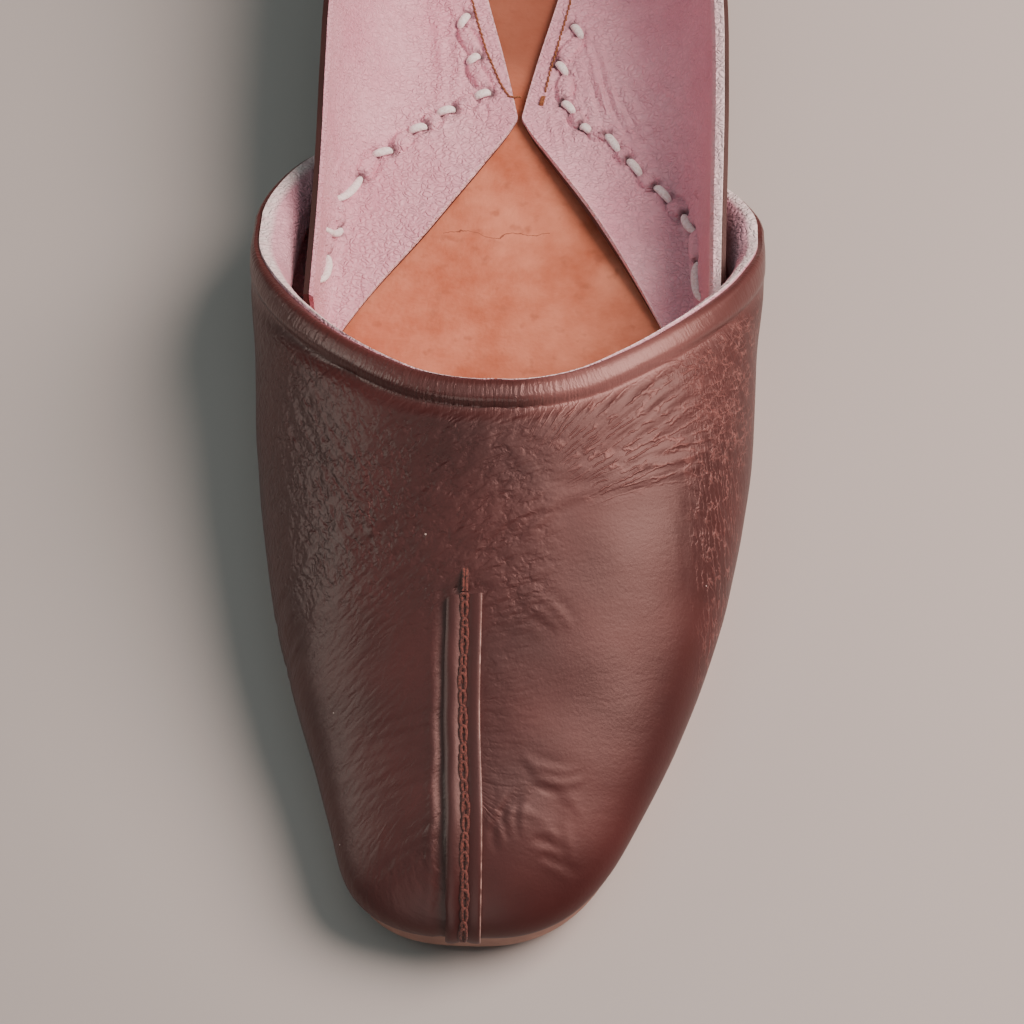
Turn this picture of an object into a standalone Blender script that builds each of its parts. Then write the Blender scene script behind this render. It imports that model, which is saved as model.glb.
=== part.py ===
"""A left jutti: a lined leather slipper on a flat leather sole, empty and standing on the floor.

The toe points to -Y, the outer (lateral) side is +X, and the floor is z = 0.
Sizes are in millimetres and become metres where a mesh is made.
"""
import bmesh
import bpy
import numpy as np
from mathutils import Vector
from mathutils.bvhtree import BVHTree

MM = 0.001

# Overall sizes
LENGTH = 270.0
BOX_MIDDLE = (-0.49, 134.15)
FIT_GAP = 0.3
TOE_SWING = -4.0
TOE_SWING_ENDS = 45.0
WAIST_SHIFT = 1.0
WAIST_SHIFT_RANGE = (100.0, 160.0)

# Sole and insole
SOLE_TIP = 0.2
SOLE_THICK = 4.3
INSOLE_THICK = 1.5
TOE_SPRING = 4.0
TOE_SPRING_ENDS = 62.0
ARCH_RISE = 1.5
ARCH_RANGE = (106.0, 206.0)
SOLE_EDGE_ROUND = 0.7
INSOLE_EDGE_ROUND = 0.3
TOE_ROUND = 16.0
TOE_SQUARENESS = 3.0
HEEL_ROUND = 28.0
HEEL_SQUARENESS = 2.3
INSOLE_INSET_TOE = 6.0
INSOLE_INSET_FOREFOOT = 3.6
INSOLE_INSET_WAIST = 1.8
INSOLE_INSET_RANGE = (150.0, 172.0)

# Half-widths of the sole at each distance behind the toe, before its two ends are rounded
SOLE_COLUMNS = ("from_toe", "medial", "lateral")
SOLE_ROWS = (
    (0.0, 18.9, 16.2), (20.0, 26.4, 24.2), (40.0, 33.4, 31.6), (56.0, 37.7, 36.6), (72.0, 40.8, 40.2),
    (90.0, 42.9, 42.9), (110.0, 43.5, 43.5), (122.0, 42.9, 42.9), (135.0, 40.6, 40.6),
    (150.0, 36.0, 36.0), (165.0, 29.8, 29.8), (180.0, 24.2, 24.2), (192.0, 22.2, 22.2),
    (205.0, 23.0, 23.0), (225.0, 27.5, 27.5), (242.0, 29.6, 29.6), (270.0, 29.6, 29.6),
)

# Vamp: the last's sections in front of the wings. Heights are above the top of the sole.
VAMP_WALL = 2.2
VAMP_TIP = -0.7
FEATHER_TIP = 1.1
FEATHER_TIP_FADES = 40.0
FEATHER_INSET = 0.8
RIDGE_TIP = 20.0
RIDGE_SHIFT = -2.0
VAMP_COLUMNS = ("from_toe", "medial", "lateral", "widest_height", "ridge_height")
VAMP_ROWS = (
    (0.0, 20.7, 18.0, 2.2, 10.5), (20.0, 28.4, 26.3, 6.6, 17.6), (40.0, 36.0, 34.2, 9.8, 25.2),
    (56.0, 40.4, 39.4, 11.5, 31.6), (72.0, 43.5, 43.0, 12.5, 37.6), (90.0, 45.9, 45.6, 14.5, 43.7),
    (110.0, 47.3, 46.4, 18.5, 48.0), (128.0, 49.3, 47.4, 23.4, 50.6), (136.0, 49.2, 47.2, 23.4, 51.4),
)

# Throat: its edge leaves the ridge and falls to the widest line where the wings begin. The first column is
# the share of that way; its first row mirrors the third, so that the edge starts level across the ridge.
WINGS_BEGIN = 136.0
THROAT_COLUMNS = ("share", "medial", "lateral")
THROAT_ROWS = (
    (-0.1, 90.2, 91.0), (0.0, 87.8, 87.8), (0.1, 90.2, 91.0), (0.18, 95.2, 97.0), (0.27, 101.8, 104.4),
    (0.36, 108.4, 111.2), (0.455, 114.6, 117.4), (0.55, 120.0, 122.8), (0.65, 124.6, 127.0),
    (0.8, 130.0, 131.4), (1.0, 136.0, 136.0),
)
ROLL_WIDTH = 5.0
ROLL_EDGE = (3.0, 5.75)
ROLL_HEIGHT = 0.9
ROLL_GROOVE = 0.35
ROLL_GROOVE_WIDTH = 4.5
ROLL_FADE = (100.0, 132.0)

# Wings: the vamp's two ends, which lie outside the quarters and run down to the sole
WING_END_MEDIAL = 158.5
WING_END_LATERAL = 153.0
WING_COLUMNS = ("share", "medial", "lateral", "top_height")
WING_ROWS = (
    (0.0, 49.2, 47.2, 23.4), (0.13, 48.7, 46.8, 22.4), (0.4, 46.8, 45.2, 19.7),
    (0.66, 43.9, 42.8, 17.0), (0.85, 41.2, 40.6, 14.5), (1.0, 38.8, 38.6, 12.0),
)

# Quarters: lined sides and back, with a margin turned in over the insole. Distances are half-widths.
QUARTER_WALL = 1.8
QUARTER_FRONT = 119.0
HEEL_CENTRE = 236.0
QUARTER_COLUMNS = ("from_toe", "margin_edge", "fold", "topline", "top_height")
QUARTER_ROWS = (
    (119.0, 32.6, 35.0, 37.0, 23.5), (134.0, 24.4, 34.6, 36.8, 25.0), (149.0, 15.4, 31.6, 36.8, 26.6),
    (163.0, 6.4, 26.4, 36.9, 28.4), (171.5, 1.3, 22.2, 36.9, 29.5), (173.5, 0.45, 21.2, 36.9, 29.8),
    (175.5, 0.8, 20.3, 36.9, 30.1), (188.0, 3.4, 17.4, 36.5, 32.0),
    (202.0, 6.8, 18.2, 35.6, 34.8), (220.0, 11.0, 23.0, 33.4, 39.0), (236.0, 13.4, 26.4, 31.4, 43.0),
)
HEEL_DEPTH_MARGIN = 13.0
HEEL_DEPTH_FOLD = 27.8
HEEL_DEPTH_TOPLINE = 30.2
HEEL_TAB_RISE = 7.0

# Seam: the margins of wing and quarter, sewn together where both stand on the sole
SEAM_RANGE = (121.0, 150.0)
SEAM_THICK = 2.6
SEAM_LIFT = 0.3
SEAM_INTO_VAMP = 1.1
SEAM_INTO_QUARTER = 1.4

# Toe strip: a narrow leather strip sewn over the toe, a little to the inner side of the ridge
STRIP_WIDTH = 6.0
STRIP_THICK = 0.9
STRIP_AT_TOE = -5.0
STRIP_AT_TOP = -6.3
STRIP_TOP = 54.0
STRIP_EYE = (30.0, 14.0)
STRIP_RAY = 100.0
STRIP_ABOVE_SOLE = 1.2

# How finely the curves are divided
SLOPE_STEP = 0.5
SAME_POINT = 0.002
SAME_LINE = 0.001
SOLE_END_STEPS = 10
SOLE_MIDDLE_STEPS = 25
TOE_STEPS = 8
FRONT_BEFORE_THROAT = (65.0, 58.0, 52.0, 46.0, 38.0, 29.0, 21.0, 14.0, 9.2, 6.4, 4.2, 2.0)
THROAT_STEPS = 13
WING_STEPS = 8
LOWER_STEPS = 4
UPPER_STEPS = 11
ARCH_CROWDING = 1.5
MARGIN_STEPS = 3
WALL_STEPS = 8
QUARTER_STEPS = 20
HEEL_STEPS = 14
SEAM_STEPS = 8
STRIP_STEPS = 44
STRIP_ACROSS = 4
STRIP_CROWDING = 1.5

MEDIAL, LATERAL = -1, 1
SIDE_NAMES = {MEDIAL: "medial", LATERAL: "lateral"}


def start_clean():
    """Empty the scene."""
    for old in list(bpy.data.objects):
        bpy.data.objects.remove(old, do_unlink=True)


def leather(name, colour, roughness):
    """A plain leather finish with a colour in linear light."""
    finish = bpy.data.materials.new(name)
    finish.use_nodes = True
    shader = finish.node_tree.nodes["Principled BSDF"]
    shader.inputs["Base Color"].default_value = (*colour, 1.0)
    shader.inputs["Roughness"].default_value = roughness
    shader.inputs["Metallic"].default_value = 0.0
    return finish


def read(columns, rows, name, at):
    """Read a table's column at a place in its first column, on a smooth curve through the rows."""
    table = np.array(rows)
    places = table[:, 0]
    values = table[:, columns.index(name)]
    slopes = np.gradient(values, places)
    at = float(np.clip(at, places[0], places[-1]))
    row = int(np.clip(np.searchsorted(places, at) - 1, 0, len(places) - 2))
    span = places[row + 1] - places[row]
    t = (at - places[row]) / span
    rise = values[row + 1] - values[row]
    bend_in = slopes[row] * span - rise
    bend_out = -slopes[row + 1] * span + rise
    return values[row] + rise * t + t * (1 - t) * (bend_in * (1 - t) + bend_out * t)


def ease(start, end, at):
    """Go smoothly from 0 at start to 1 at end."""
    t = np.clip((at - start) / (end - start), 0.0, 1.0)
    return t * t * (3.0 - 2.0 * t)


def centre(from_toe):
    """The middle line seen from above: it swings to the inner side at the toe."""
    swing = TOE_SWING * max(0.0, 1.0 - from_toe / TOE_SWING_ENDS) ** 2
    return swing + WAIST_SHIFT * ease(*WAIST_SHIFT_RANGE, from_toe)


def sole_bottom(from_toe):
    """Height of the sole's underside: flat under ball and heel, lifted at the toe and the waist."""
    spring = TOE_SPRING * max(0.0, 1.0 - from_toe / TOE_SPRING_ENDS) ** 2
    start, end = ARCH_RANGE
    arch = np.sin(np.pi * np.clip((from_toe - start) / (end - start), 0.0, 1.0)) ** 2
    return spring + ARCH_RISE * arch


def sole_top(from_toe):
    """Height of the sole's upper face."""
    return sole_bottom(from_toe) + SOLE_THICK


def end_round(depth, radius, squareness):
    """Share of the full half-width at a depth inside a rounded end."""
    if depth >= radius:
        return 1.0
    inside = max(0.0, 1.0 - depth / radius)
    return max(0.0, 1.0 - inside ** squareness) ** (1.0 / squareness)


def sole_half(from_toe, side, toe_inset=SOLE_TIP, heel_inset=0.0, side_inset=0.0):
    """Half-width of the sole, or of an outline inside it, with both ends rounded."""
    width = read(SOLE_COLUMNS, SOLE_ROWS, SIDE_NAMES[side], from_toe) - side_inset
    toe = end_round(from_toe - toe_inset, TOE_ROUND, TOE_SQUARENESS)
    heel = end_round(LENGTH - heel_inset - from_toe, HEEL_ROUND, HEEL_SQUARENESS)
    return width * toe * heel


def round_places(radius, squareness, steps):
    """Depths that divide a rounded end evenly."""
    turns = np.linspace(0.0, np.pi / 2, steps + 1)
    return radius * (1.0 - np.cos(turns) ** (2.0 / squareness))


def to_frame(x, from_toe, z):
    """A point of the shoe in the part's frame, in millimetres."""
    return np.array((x - BOX_MIDDLE[0], from_toe - BOX_MIDDLE[1], z))


def make_object(name, points, faces, finish):
    """A mesh object from points in millimetres, with doubled points merged and normals outward."""
    shape = bmesh.new()
    verts = [shape.verts.new(Vector(point) * MM) for point in points]
    for face in faces:
        shape.faces.new([verts[i] for i in face])
    bmesh.ops.remove_doubles(shape, verts=shape.verts, dist=SAME_POINT * MM)
    bmesh.ops.dissolve_degenerate(shape, edges=shape.edges, dist=SAME_LINE * MM)
    bmesh.ops.recalc_face_normals(shape, faces=shape.faces)
    mesh = bpy.data.meshes.new(name)
    shape.to_mesh(mesh)
    shape.free()
    mesh.materials.append(finish)
    mesh.shade_smooth()
    made = bpy.data.objects.new(name, mesh)
    bpy.context.scene.collection.objects.link(made)
    return made


def grid_faces(rows, columns, first=0, closed=False):
    """Four-cornered faces of a grid whose points are stored row by row."""
    faces = []
    for row in range(rows - 1):
        for column in range(columns if closed else columns - 1):
            after = (column + 1) % columns
            here = first + row * columns
            faces.append((here + column, here + after, here + columns + after, here + columns + column))
    return faces


def turn_up(sheet, face):
    """Turn a sheet's faces over if the given one looks down."""
    if sheet.data.polygons[face].normal.z < 0.0:
        sheet.data.flip_normals()


def thicken(sheet, thickness, offset):
    """Give a sheet its wall: offset 1 builds outward from the sheet and -1 inward."""
    wall = sheet.modifiers.new("Wall", "SOLIDIFY")
    wall.thickness = thickness * MM
    wall.offset = offset


def slab(name, places, half_width, bottom, top, edge_round, finish):
    """A sole-like slab with softened edges, from its half-width and heights at each place."""
    rings = []
    for height, inset in ((bottom, edge_round), (bottom, 0.0), (top, 0.0), (top, edge_round)):
        lift = edge_round if inset == 0.0 else 0.0
        lift = lift if height is bottom else -lift
        ring = []
        for side in (MEDIAL, LATERAL):
            row = []
            for from_toe in places:
                half = max(half_width(from_toe, side) - inset, 0.0)
                row.append(to_frame(centre(from_toe) + side * half, from_toe, height(from_toe) + lift))
            ring.append(row)
        rings.append(ring)
    points = []
    for medial, lateral in rings:
        points.extend(medial)
        points.extend(lateral)
    count = len(places)
    faces = []
    for ring in range(len(rings) - 1):
        for side in (0, 1):
            low = (2 * ring + side) * count
            high = low + 2 * count
            for i in range(count - 1):
                quad = (low + i, low + i + 1, high + i + 1, high + i)
                faces.append(quad if side else quad[::-1])
    for ring, flip in ((0, False), (len(rings) - 1, True)):
        medial = 2 * ring * count
        lateral = medial + count
        for i in range(count - 1):
            quad = (medial + i, medial + i + 1, lateral + i + 1, lateral + i)
            faces.append(quad[::-1] if flip else quad)
    return make_object(name, points, faces, finish)


def outline_places(toe_tip, heel_tip):
    """Stations of a sole outline, close together where its ends turn."""
    toe = toe_tip + round_places(TOE_ROUND, TOE_SQUARENESS, SOLE_END_STEPS)
    heel = heel_tip - round_places(HEEL_ROUND, HEEL_SQUARENESS, SOLE_END_STEPS)
    middle = np.linspace(toe[-1], heel[-1], SOLE_MIDDLE_STEPS + 1)[1:-1]
    return [*toe, *middle, *heel[::-1]]


def make_outsole():
    """The flat leather sole that shoe and foot stand on."""
    finish = leather("sole_leather", (0.16, 0.085, 0.065), 0.6)
    places = outline_places(SOLE_TIP, LENGTH)
    return slab("outsole", places, sole_half, sole_bottom, sole_top, SOLE_EDGE_ROUND, finish)


def insole_half(from_toe, side):
    """Half-width of the insole, inside the vamp's wall in front and nearly to the sole's edge behind."""
    to_waist = ease(*INSOLE_INSET_RANGE, from_toe)
    inset = INSOLE_INSET_FOREFOOT + (INSOLE_INSET_WAIST - INSOLE_INSET_FOREFOOT) * to_waist
    return sole_half(from_toe, side, INSOLE_INSET_TOE, INSOLE_INSET_WAIST, inset)


def make_insole():
    """The tan leather insole that shows between the turned-in margins."""
    finish = leather("tan_leather", (0.62, 0.24, 0.15), 0.7)
    places = outline_places(INSOLE_INSET_TOE, LENGTH - INSOLE_INSET_WAIST)

    def bottom(from_toe):
        return sole_top(from_toe) + FIT_GAP

    def top(from_toe):
        return bottom(from_toe) + INSOLE_THICK

    return slab("insole", places, insole_half, bottom, top, INSOLE_EDGE_ROUND, finish)


def vamp_half(from_toe, side, inset):
    """Half-width of the vamp at its widest, seen from above."""
    width = read(VAMP_COLUMNS, VAMP_ROWS, SIDE_NAMES[side], from_toe) - inset
    return width * end_round(from_toe - VAMP_TIP - inset, TOE_ROUND, TOE_SQUARENESS)


def feather_point(from_toe, side, inset):
    """Where the vamp's wall meets the sole, just inside the sole's edge."""
    left = max(0.0, 1.0 - (from_toe - VAMP_TIP - inset) / FEATHER_TIP_FADES)
    place = from_toe + (FEATHER_TIP - VAMP_TIP) * left ** 2
    half = sole_half(place, side, FEATHER_TIP + inset, 0.0, FEATHER_INSET + inset)
    return to_frame(centre(place) + side * half, place, sole_top(place) + FIT_GAP)


def ridge_point(from_toe):
    """The vamp's highest line, continued over the open throat."""
    height = read(VAMP_COLUMNS, VAMP_ROWS, "ridge_height", from_toe)
    return to_frame(centre(from_toe) + RIDGE_SHIFT, from_toe, sole_top(from_toe) + height)


def ridge_slope(from_toe):
    """How fast the ridge climbs towards the throat."""
    ahead, behind = ridge_point(from_toe + SLOPE_STEP), ridge_point(from_toe - SLOPE_STEP)
    return (ahead[2] - behind[2]) / (ahead[1] - behind[1])


def wall_curve(feather, widest, steps):
    """Lower wall: it leaves the sole leaning outward and stands upright at the widest line."""
    points = []
    for t in np.linspace(0.0, 1.0, steps + 1):
        out = np.sin(t * np.pi / 2)
        plan = feather[:2] + (widest[:2] - feather[:2]) * out
        points.append(np.array((*plan, feather[2] + (widest[2] - feather[2]) * t)))
    return points


def vamp_section(from_toe, side, inset, arch_end=1.0):
    """One girth of the vamp, from the feather line over the widest line towards the ridge."""
    half = vamp_half(from_toe, side, inset)
    height = read(VAMP_COLUMNS, VAMP_ROWS, "widest_height", from_toe)
    widest = to_frame(centre(from_toe) + side * half, from_toe, sole_top(from_toe) + height)
    points = wall_curve(feather_point(from_toe, side, inset), widest, LOWER_STEPS)
    ridge_place = np.hypot(from_toe, RIDGE_TIP)
    ridge = ridge_point(ridge_place) - (0.0, 0.0, inset)
    along = (ridge[1] - widest[1]) * ridge_slope(ridge_place)
    for t in np.linspace(0.0, 1.0, UPPER_STEPS + 1)[1:]:
        turn = arch_end * (1.0 - (1.0 - t) ** ARCH_CROWDING) * np.pi / 2
        inward = 1.0 - np.cos(turn)
        plan = widest[:2] + (ridge[:2] - widest[:2]) * inward
        rise = (ridge[2] - widest[2] - along) * np.sin(turn) + along * inward
        points.append(np.array((*plan, widest[2] + rise)))
    return points


def wing_section(share, side, inset):
    """One girth of a wing behind the throat, from the feather line up to its cut edge."""
    end = WING_END_MEDIAL if side == MEDIAL else WING_END_LATERAL
    from_toe = WINGS_BEGIN + share * (end - WINGS_BEGIN)
    half = read(WING_COLUMNS, WING_ROWS, SIDE_NAMES[side], share) - inset
    height = read(WING_COLUMNS, WING_ROWS, "top_height", share)
    top = to_frame(centre(from_toe) + side * half, from_toe, sole_top(from_toe) + height)
    return wall_curve(feather_point(from_toe, side, inset), top, LOWER_STEPS + UPPER_STEPS)


def throat_section(share, side, inset):
    """One girth that ends at the throat's edge, which comes down to the widest line without a corner."""
    place = read(THROAT_COLUMNS, THROAT_ROWS, SIDE_NAMES[side], share)
    return vamp_section(place, side, inset, (1.0 - share) ** 2)


def vamp_half_sections(side, inset):
    """All girths of one side, from the toe's tip to the end of the wing, on a face set in from the outer one."""
    toe = VAMP_TIP + inset + round_places(TOE_ROUND, TOE_SQUARENESS, TOE_STEPS)
    throat = read(THROAT_COLUMNS, THROAT_ROWS, SIDE_NAMES[side], 0.0)
    front = [throat - before for before in FRONT_BEFORE_THROAT]
    shares = np.linspace(0.0, 1.0, THROAT_STEPS + 1)
    wing_shares = np.linspace(0.0, 1.0, WING_STEPS + 1)[1:]
    sections = [vamp_section(place, side, inset) for place in (*toe, *front)]
    sections += [throat_section(share, side, inset) for share in shares]
    sections += [wing_section(share, side, inset) for share in wing_shares]
    return sections


def roll_lift(point, edge_line):
    """How far the rolled topline stands out of the vamp, with a soft groove beside it."""
    distance = np.min(np.linalg.norm(edge_line - point, axis=1))
    fade = 1.0 - ease(*ROLL_FADE, point[1] + BOX_MIDDLE[1])
    roll = ROLL_HEIGHT * (1.0 - ease(*ROLL_EDGE, distance))
    off_groove = (distance - ROLL_WIDTH - ROLL_GROOVE_WIDTH / 2) / (ROLL_GROOVE_WIDTH / 2)
    groove = ROLL_GROOVE * max(0.0, 1.0 - off_groove ** 2)
    return fade * (roll - groove)


def rolled(points, faces, edge_line):
    """The vamp's outer face with its throat rolled out, in the directions that the face looks."""
    facing = np.zeros_like(points)
    for face in faces:
        first, second, third, fourth = points[list(face)]
        facing[list(face)] += np.cross(third - first, fourth - second)
    keys = np.round(points / SAME_POINT).astype(int)
    shared = np.unique(keys, axis=0, return_inverse=True)[1].reshape(-1)
    total = np.zeros_like(points)
    np.add.at(total, shared, facing)
    facing = total[shared] / np.linalg.norm(total[shared], axis=1)[:, None]
    lifts = np.array([roll_lift(point, edge_line) for point in points])
    return points + facing * lifts[:, None]


def make_vamp(finish):
    """The vamp: a moulded wall over toe and instep, with a rolled throat and two wings."""
    outer, inner, faces, rims, edge_line = [], [], [], [], []
    throat_first = TOE_STEPS + 1 + len(FRONT_BEFORE_THROAT)
    for side in (MEDIAL, LATERAL):
        sections = vamp_half_sections(side, 0.0)
        first, count, width = len(outer), len(sections), len(sections[0])
        outer.extend(point for section in sections for point in section)
        inner.extend(point for section in vamp_half_sections(side, VAMP_WALL) for point in section)
        edge_line += [section[-1] for section in sections[throat_first:]]
        for face in grid_faces(count, width, first):
            faces.append(face if side == MEDIAL else face[::-1])
        grid = first + np.arange(count * width).reshape(count, width)
        rims.append([*grid[:, 0], *grid[-1, 1:], *grid[throat_first:-1, -1][::-1]])
    outer = rolled(np.array(outer), faces, np.array(edge_line))
    total = len(outer)
    faces += [tuple(corner + total for corner in face[::-1]) for face in faces]
    for rim in rims:
        faces += [(start, end, end + total, start + total) for start, end in zip(rim, rim[1:])]
    return make_object("upper", [*outer, *inner], faces, finish)


def quarter_section(out, start, margin, fold, topline, base, top):
    """One section of a quarter: flat margin on the insole, fold, and the wall up to the topline."""
    points = []
    for t in np.linspace(0.0, 1.0, MARGIN_STEPS + 1)[:-1]:
        reach = margin + (fold - margin) * t
        points.append(np.array((*(start + out * reach), base)))
    for t in np.linspace(0.0, 1.0, WALL_STEPS + 1):
        turn = t * np.pi / 2
        reach = fold + (topline - fold) * np.sin(turn)
        points.append(np.array((*(start + out * reach), base + (top - base) * (1.0 - np.cos(turn)))))
    return points


def quarter_base(from_toe):
    """Height of the margin's upper face, lying on the insole."""
    return sole_top(from_toe) + INSOLE_THICK + 2 * FIT_GAP + QUARTER_WALL


def quarter_side(from_toe, side):
    """A quarter's section beside the foot."""
    names = ("margin_edge", "fold", "topline", "top_height")
    margin, fold, topline, height = (read(QUARTER_COLUMNS, QUARTER_ROWS, n, from_toe) for n in names)
    start = to_frame(centre(from_toe), from_toe, 0.0)[:2]
    top = sole_top(from_toe) + height
    return quarter_section(np.array((side, 0.0)), start, margin, fold, topline, quarter_base(from_toe), top)


def heel_reach(half, depth, turn):
    """Distance from the heel's centre to a rounded outline in a direction."""
    across = (abs(np.cos(turn)) / half) ** HEEL_SQUARENESS
    back = (np.sin(turn) / depth) ** HEEL_SQUARENESS
    return (across + back) ** (-1.0 / HEEL_SQUARENESS)


def quarter_heel(turn):
    """A section behind the heel's centre, in a direction turned from the outer side to the inner."""
    names = ("margin_edge", "fold", "topline", "top_height")
    margin, fold, topline, height = (read(QUARTER_COLUMNS, QUARTER_ROWS, n, HEEL_CENTRE) for n in names)
    out = np.array((np.cos(turn), np.sin(turn)))
    start = to_frame(centre(HEEL_CENTRE), HEEL_CENTRE, 0.0)[:2]
    margin = heel_reach(margin, HEEL_DEPTH_MARGIN, turn)
    fold = heel_reach(fold, HEEL_DEPTH_FOLD, turn)
    topline = heel_reach(topline, HEEL_DEPTH_TOPLINE, turn)
    top = sole_top(HEEL_CENTRE) + height + HEEL_TAB_RISE * np.sin(turn) ** 2
    return quarter_section(out, start, margin, fold, topline, quarter_base(HEEL_CENTRE), top)


def make_quarters(finish):
    """Both quarters as one sheet round the heel, thickened outward from the lining's face."""
    places = np.linspace(QUARTER_FRONT, HEEL_CENTRE, QUARTER_STEPS + 1)
    sections = [quarter_side(place, LATERAL) for place in places]
    sections += [quarter_heel(turn) for turn in np.linspace(0.0, np.pi, HEEL_STEPS + 1)[1:-1]]
    sections += [quarter_side(place, MEDIAL) for place in places[::-1]]
    points = [point for section in sections for point in section]
    faces = grid_faces(len(sections), len(sections[0]))
    quarters = make_object("quarters", points, faces, finish)
    turn_up(quarters, 0)
    thicken(quarters, QUARTER_WALL, -1.0)
    return quarters


def make_seam(side, finish):
    """The sewn margins that join a wing to its quarter, low down on the insole."""
    points = []
    for place in np.linspace(*SEAM_RANGE, SEAM_STEPS + 1):
        inner = read(QUARTER_COLUMNS, QUARTER_ROWS, "fold", place) - SEAM_INTO_QUARTER
        outer = sole_half(place, side) - FEATHER_INSET - SEAM_INTO_VAMP
        low = quarter_base(place) - QUARTER_WALL + SEAM_LIFT
        for reach, height in ((inner, 0.0), (outer, 0.0), (outer, SEAM_THICK), (inner, SEAM_THICK)):
            points.append(to_frame(centre(place) + side * reach, place, low + height))
    count = len(points)
    faces = grid_faces(count // 4, 4, closed=True)
    faces += [(0, 1, 2, 3), (count - 1, count - 2, count - 3, count - 4)]
    return make_object("seam", points, faces, finish)


def join_into(body, piece):
    """Fuse a piece into a body and keep the piece as a guide only."""
    union = body.modifiers.new("Join " + piece.name, "BOOLEAN")
    union.operation = "UNION"
    union.solver = "EXACT"
    union.object = piece
    piece.hide_render = True
    piece.display_type = "WIRE"


def make_upper():
    """The upper: vamp and quarters as one hollow wall, joined along the sewn margins."""
    finish = leather("maroon_leather", (0.085, 0.030, 0.028), 0.38)
    vamp = make_vamp(finish)
    join_into(vamp, make_quarters(finish))
    for side in (MEDIAL, LATERAL):
        join_into(vamp, make_seam(side, finish))
    return vamp


def make_toe_strip(vamp):
    """The strip over the toe, laid on the vamp's own surface in a fan of directions from inside."""
    finish = leather("maroon_strip", (0.095, 0.032, 0.028), 0.45)
    sheet = BVHTree.FromPolygons(
        [v.co.copy() for v in vamp.data.vertices], [p.vertices[:] for p in vamp.data.polygons])
    eye_place, eye_height = STRIP_EYE
    foot = feather_point(VAMP_TIP, LATERAL, 0.0)[2] + STRIP_ABOVE_SOLE
    head = ridge_point(STRIP_TOP)[2]
    first = np.arctan2(foot - eye_height, eye_place - FEATHER_TIP)
    last = np.arctan2(head - eye_height, eye_place - STRIP_TOP)
    points = []
    for share in np.linspace(0.0, 1.0, STRIP_STEPS + 1):
        angle = first + (last - first) * share ** STRIP_CROWDING
        way = Vector((0.0, -np.cos(angle), np.sin(angle)))
        middle = STRIP_AT_TOE + (STRIP_AT_TOP - STRIP_AT_TOE) * ease(first, last, angle)
        for across in np.linspace(-STRIP_WIDTH / 2, STRIP_WIDTH / 2, STRIP_ACROSS + 1):
            eye = Vector(to_frame(middle + across, eye_place, eye_height)) * MM
            hit = sheet.ray_cast(eye + way * STRIP_RAY * MM, -way)[0]
            points.append(np.array(hit) / MM)
    strip = make_object("toe_strip", points, grid_faces(STRIP_STEPS + 1, STRIP_ACROSS + 1), finish)
    turn_up(strip, -1)
    for vert in strip.data.vertices:
        vert.co += vert.normal * FIT_GAP * MM
    thicken(strip, STRIP_THICK, 1.0)
    return strip


start_clean()
make_outsole()
make_insole()
upper = make_upper()
make_toe_strip(upper)
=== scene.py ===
"""A left jutti of maroon leather, lined in mauve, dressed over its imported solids."""

import bpy
import numpy as np
from mathutils import Matrix, Vector, kdtree, noise
from mathutils.bvhtree import BVHTree


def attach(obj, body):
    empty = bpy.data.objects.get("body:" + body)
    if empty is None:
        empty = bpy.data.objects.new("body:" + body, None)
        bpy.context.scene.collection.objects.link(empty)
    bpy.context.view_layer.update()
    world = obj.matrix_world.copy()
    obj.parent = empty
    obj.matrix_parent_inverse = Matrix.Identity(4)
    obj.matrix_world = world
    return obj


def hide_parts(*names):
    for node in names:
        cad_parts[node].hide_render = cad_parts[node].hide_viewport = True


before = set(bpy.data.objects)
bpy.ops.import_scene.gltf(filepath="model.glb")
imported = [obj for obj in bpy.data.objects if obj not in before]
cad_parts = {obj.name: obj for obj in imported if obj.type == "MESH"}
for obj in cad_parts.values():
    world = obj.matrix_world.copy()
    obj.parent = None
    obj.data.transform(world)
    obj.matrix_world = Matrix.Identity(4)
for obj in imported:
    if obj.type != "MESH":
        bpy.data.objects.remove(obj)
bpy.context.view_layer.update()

# Outsole
# A flat sole of thick vegetable-tanned leather, cut to the outline of the last, its edge rubbed smooth.
# It lifts a little at the toe and under the waist, and the upper is sewn down onto it.
MM = 0.001
MEDIAL, LATERAL = -1, 1
SIDE_NAMES = {MEDIAL: "medial", LATERAL: "lateral"}
LENGTH = 270.0
BOX_MIDDLE = (-0.49, 134.15)
FIT_GAP = 0.3
TOE_SWING = -4.0
TOE_SWING_ENDS = 45.0
WAIST_SHIFT = 1.0
WAIST_SHIFT_RANGE = (100.0, 160.0)
SOLE_TIP = 0.2
SOLE_THICK = 4.3
TOE_SPRING = 4.0
TOE_SPRING_ENDS = 62.0
ARCH_RISE = 1.5
ARCH_RANGE = (106.0, 206.0)
SOLE_EDGE_ROUND = 0.7
TOE_ROUND = 16.0
TOE_SQUARENESS = 3.0
HEEL_ROUND = 28.0
HEEL_SQUARENESS = 2.3
SOLE_COLUMNS = ("from_toe", "medial", "lateral")
SOLE_ROWS = (
    (0.0, 18.9, 16.2), (20.0, 26.4, 24.2), (40.0, 33.4, 31.6), (56.0, 37.7, 36.6), (72.0, 40.8, 40.2),
    (90.0, 42.9, 42.9), (110.0, 43.5, 43.5), (122.0, 42.9, 42.9), (135.0, 40.6, 40.6),
    (150.0, 36.0, 36.0), (165.0, 29.8, 29.8), (180.0, 24.2, 24.2), (192.0, 22.2, 22.2),
    (205.0, 23.0, 23.0), (225.0, 27.5, 27.5), (242.0, 29.6, 29.6), (270.0, 29.6, 29.6),
)
SLAB_ROUND_STEPS = 24
SLAB_MIDDLE_STEPS = 110
SLAB_ACROSS_STEPS = 28
SLAB_CORNER_STEPS = 4
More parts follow.
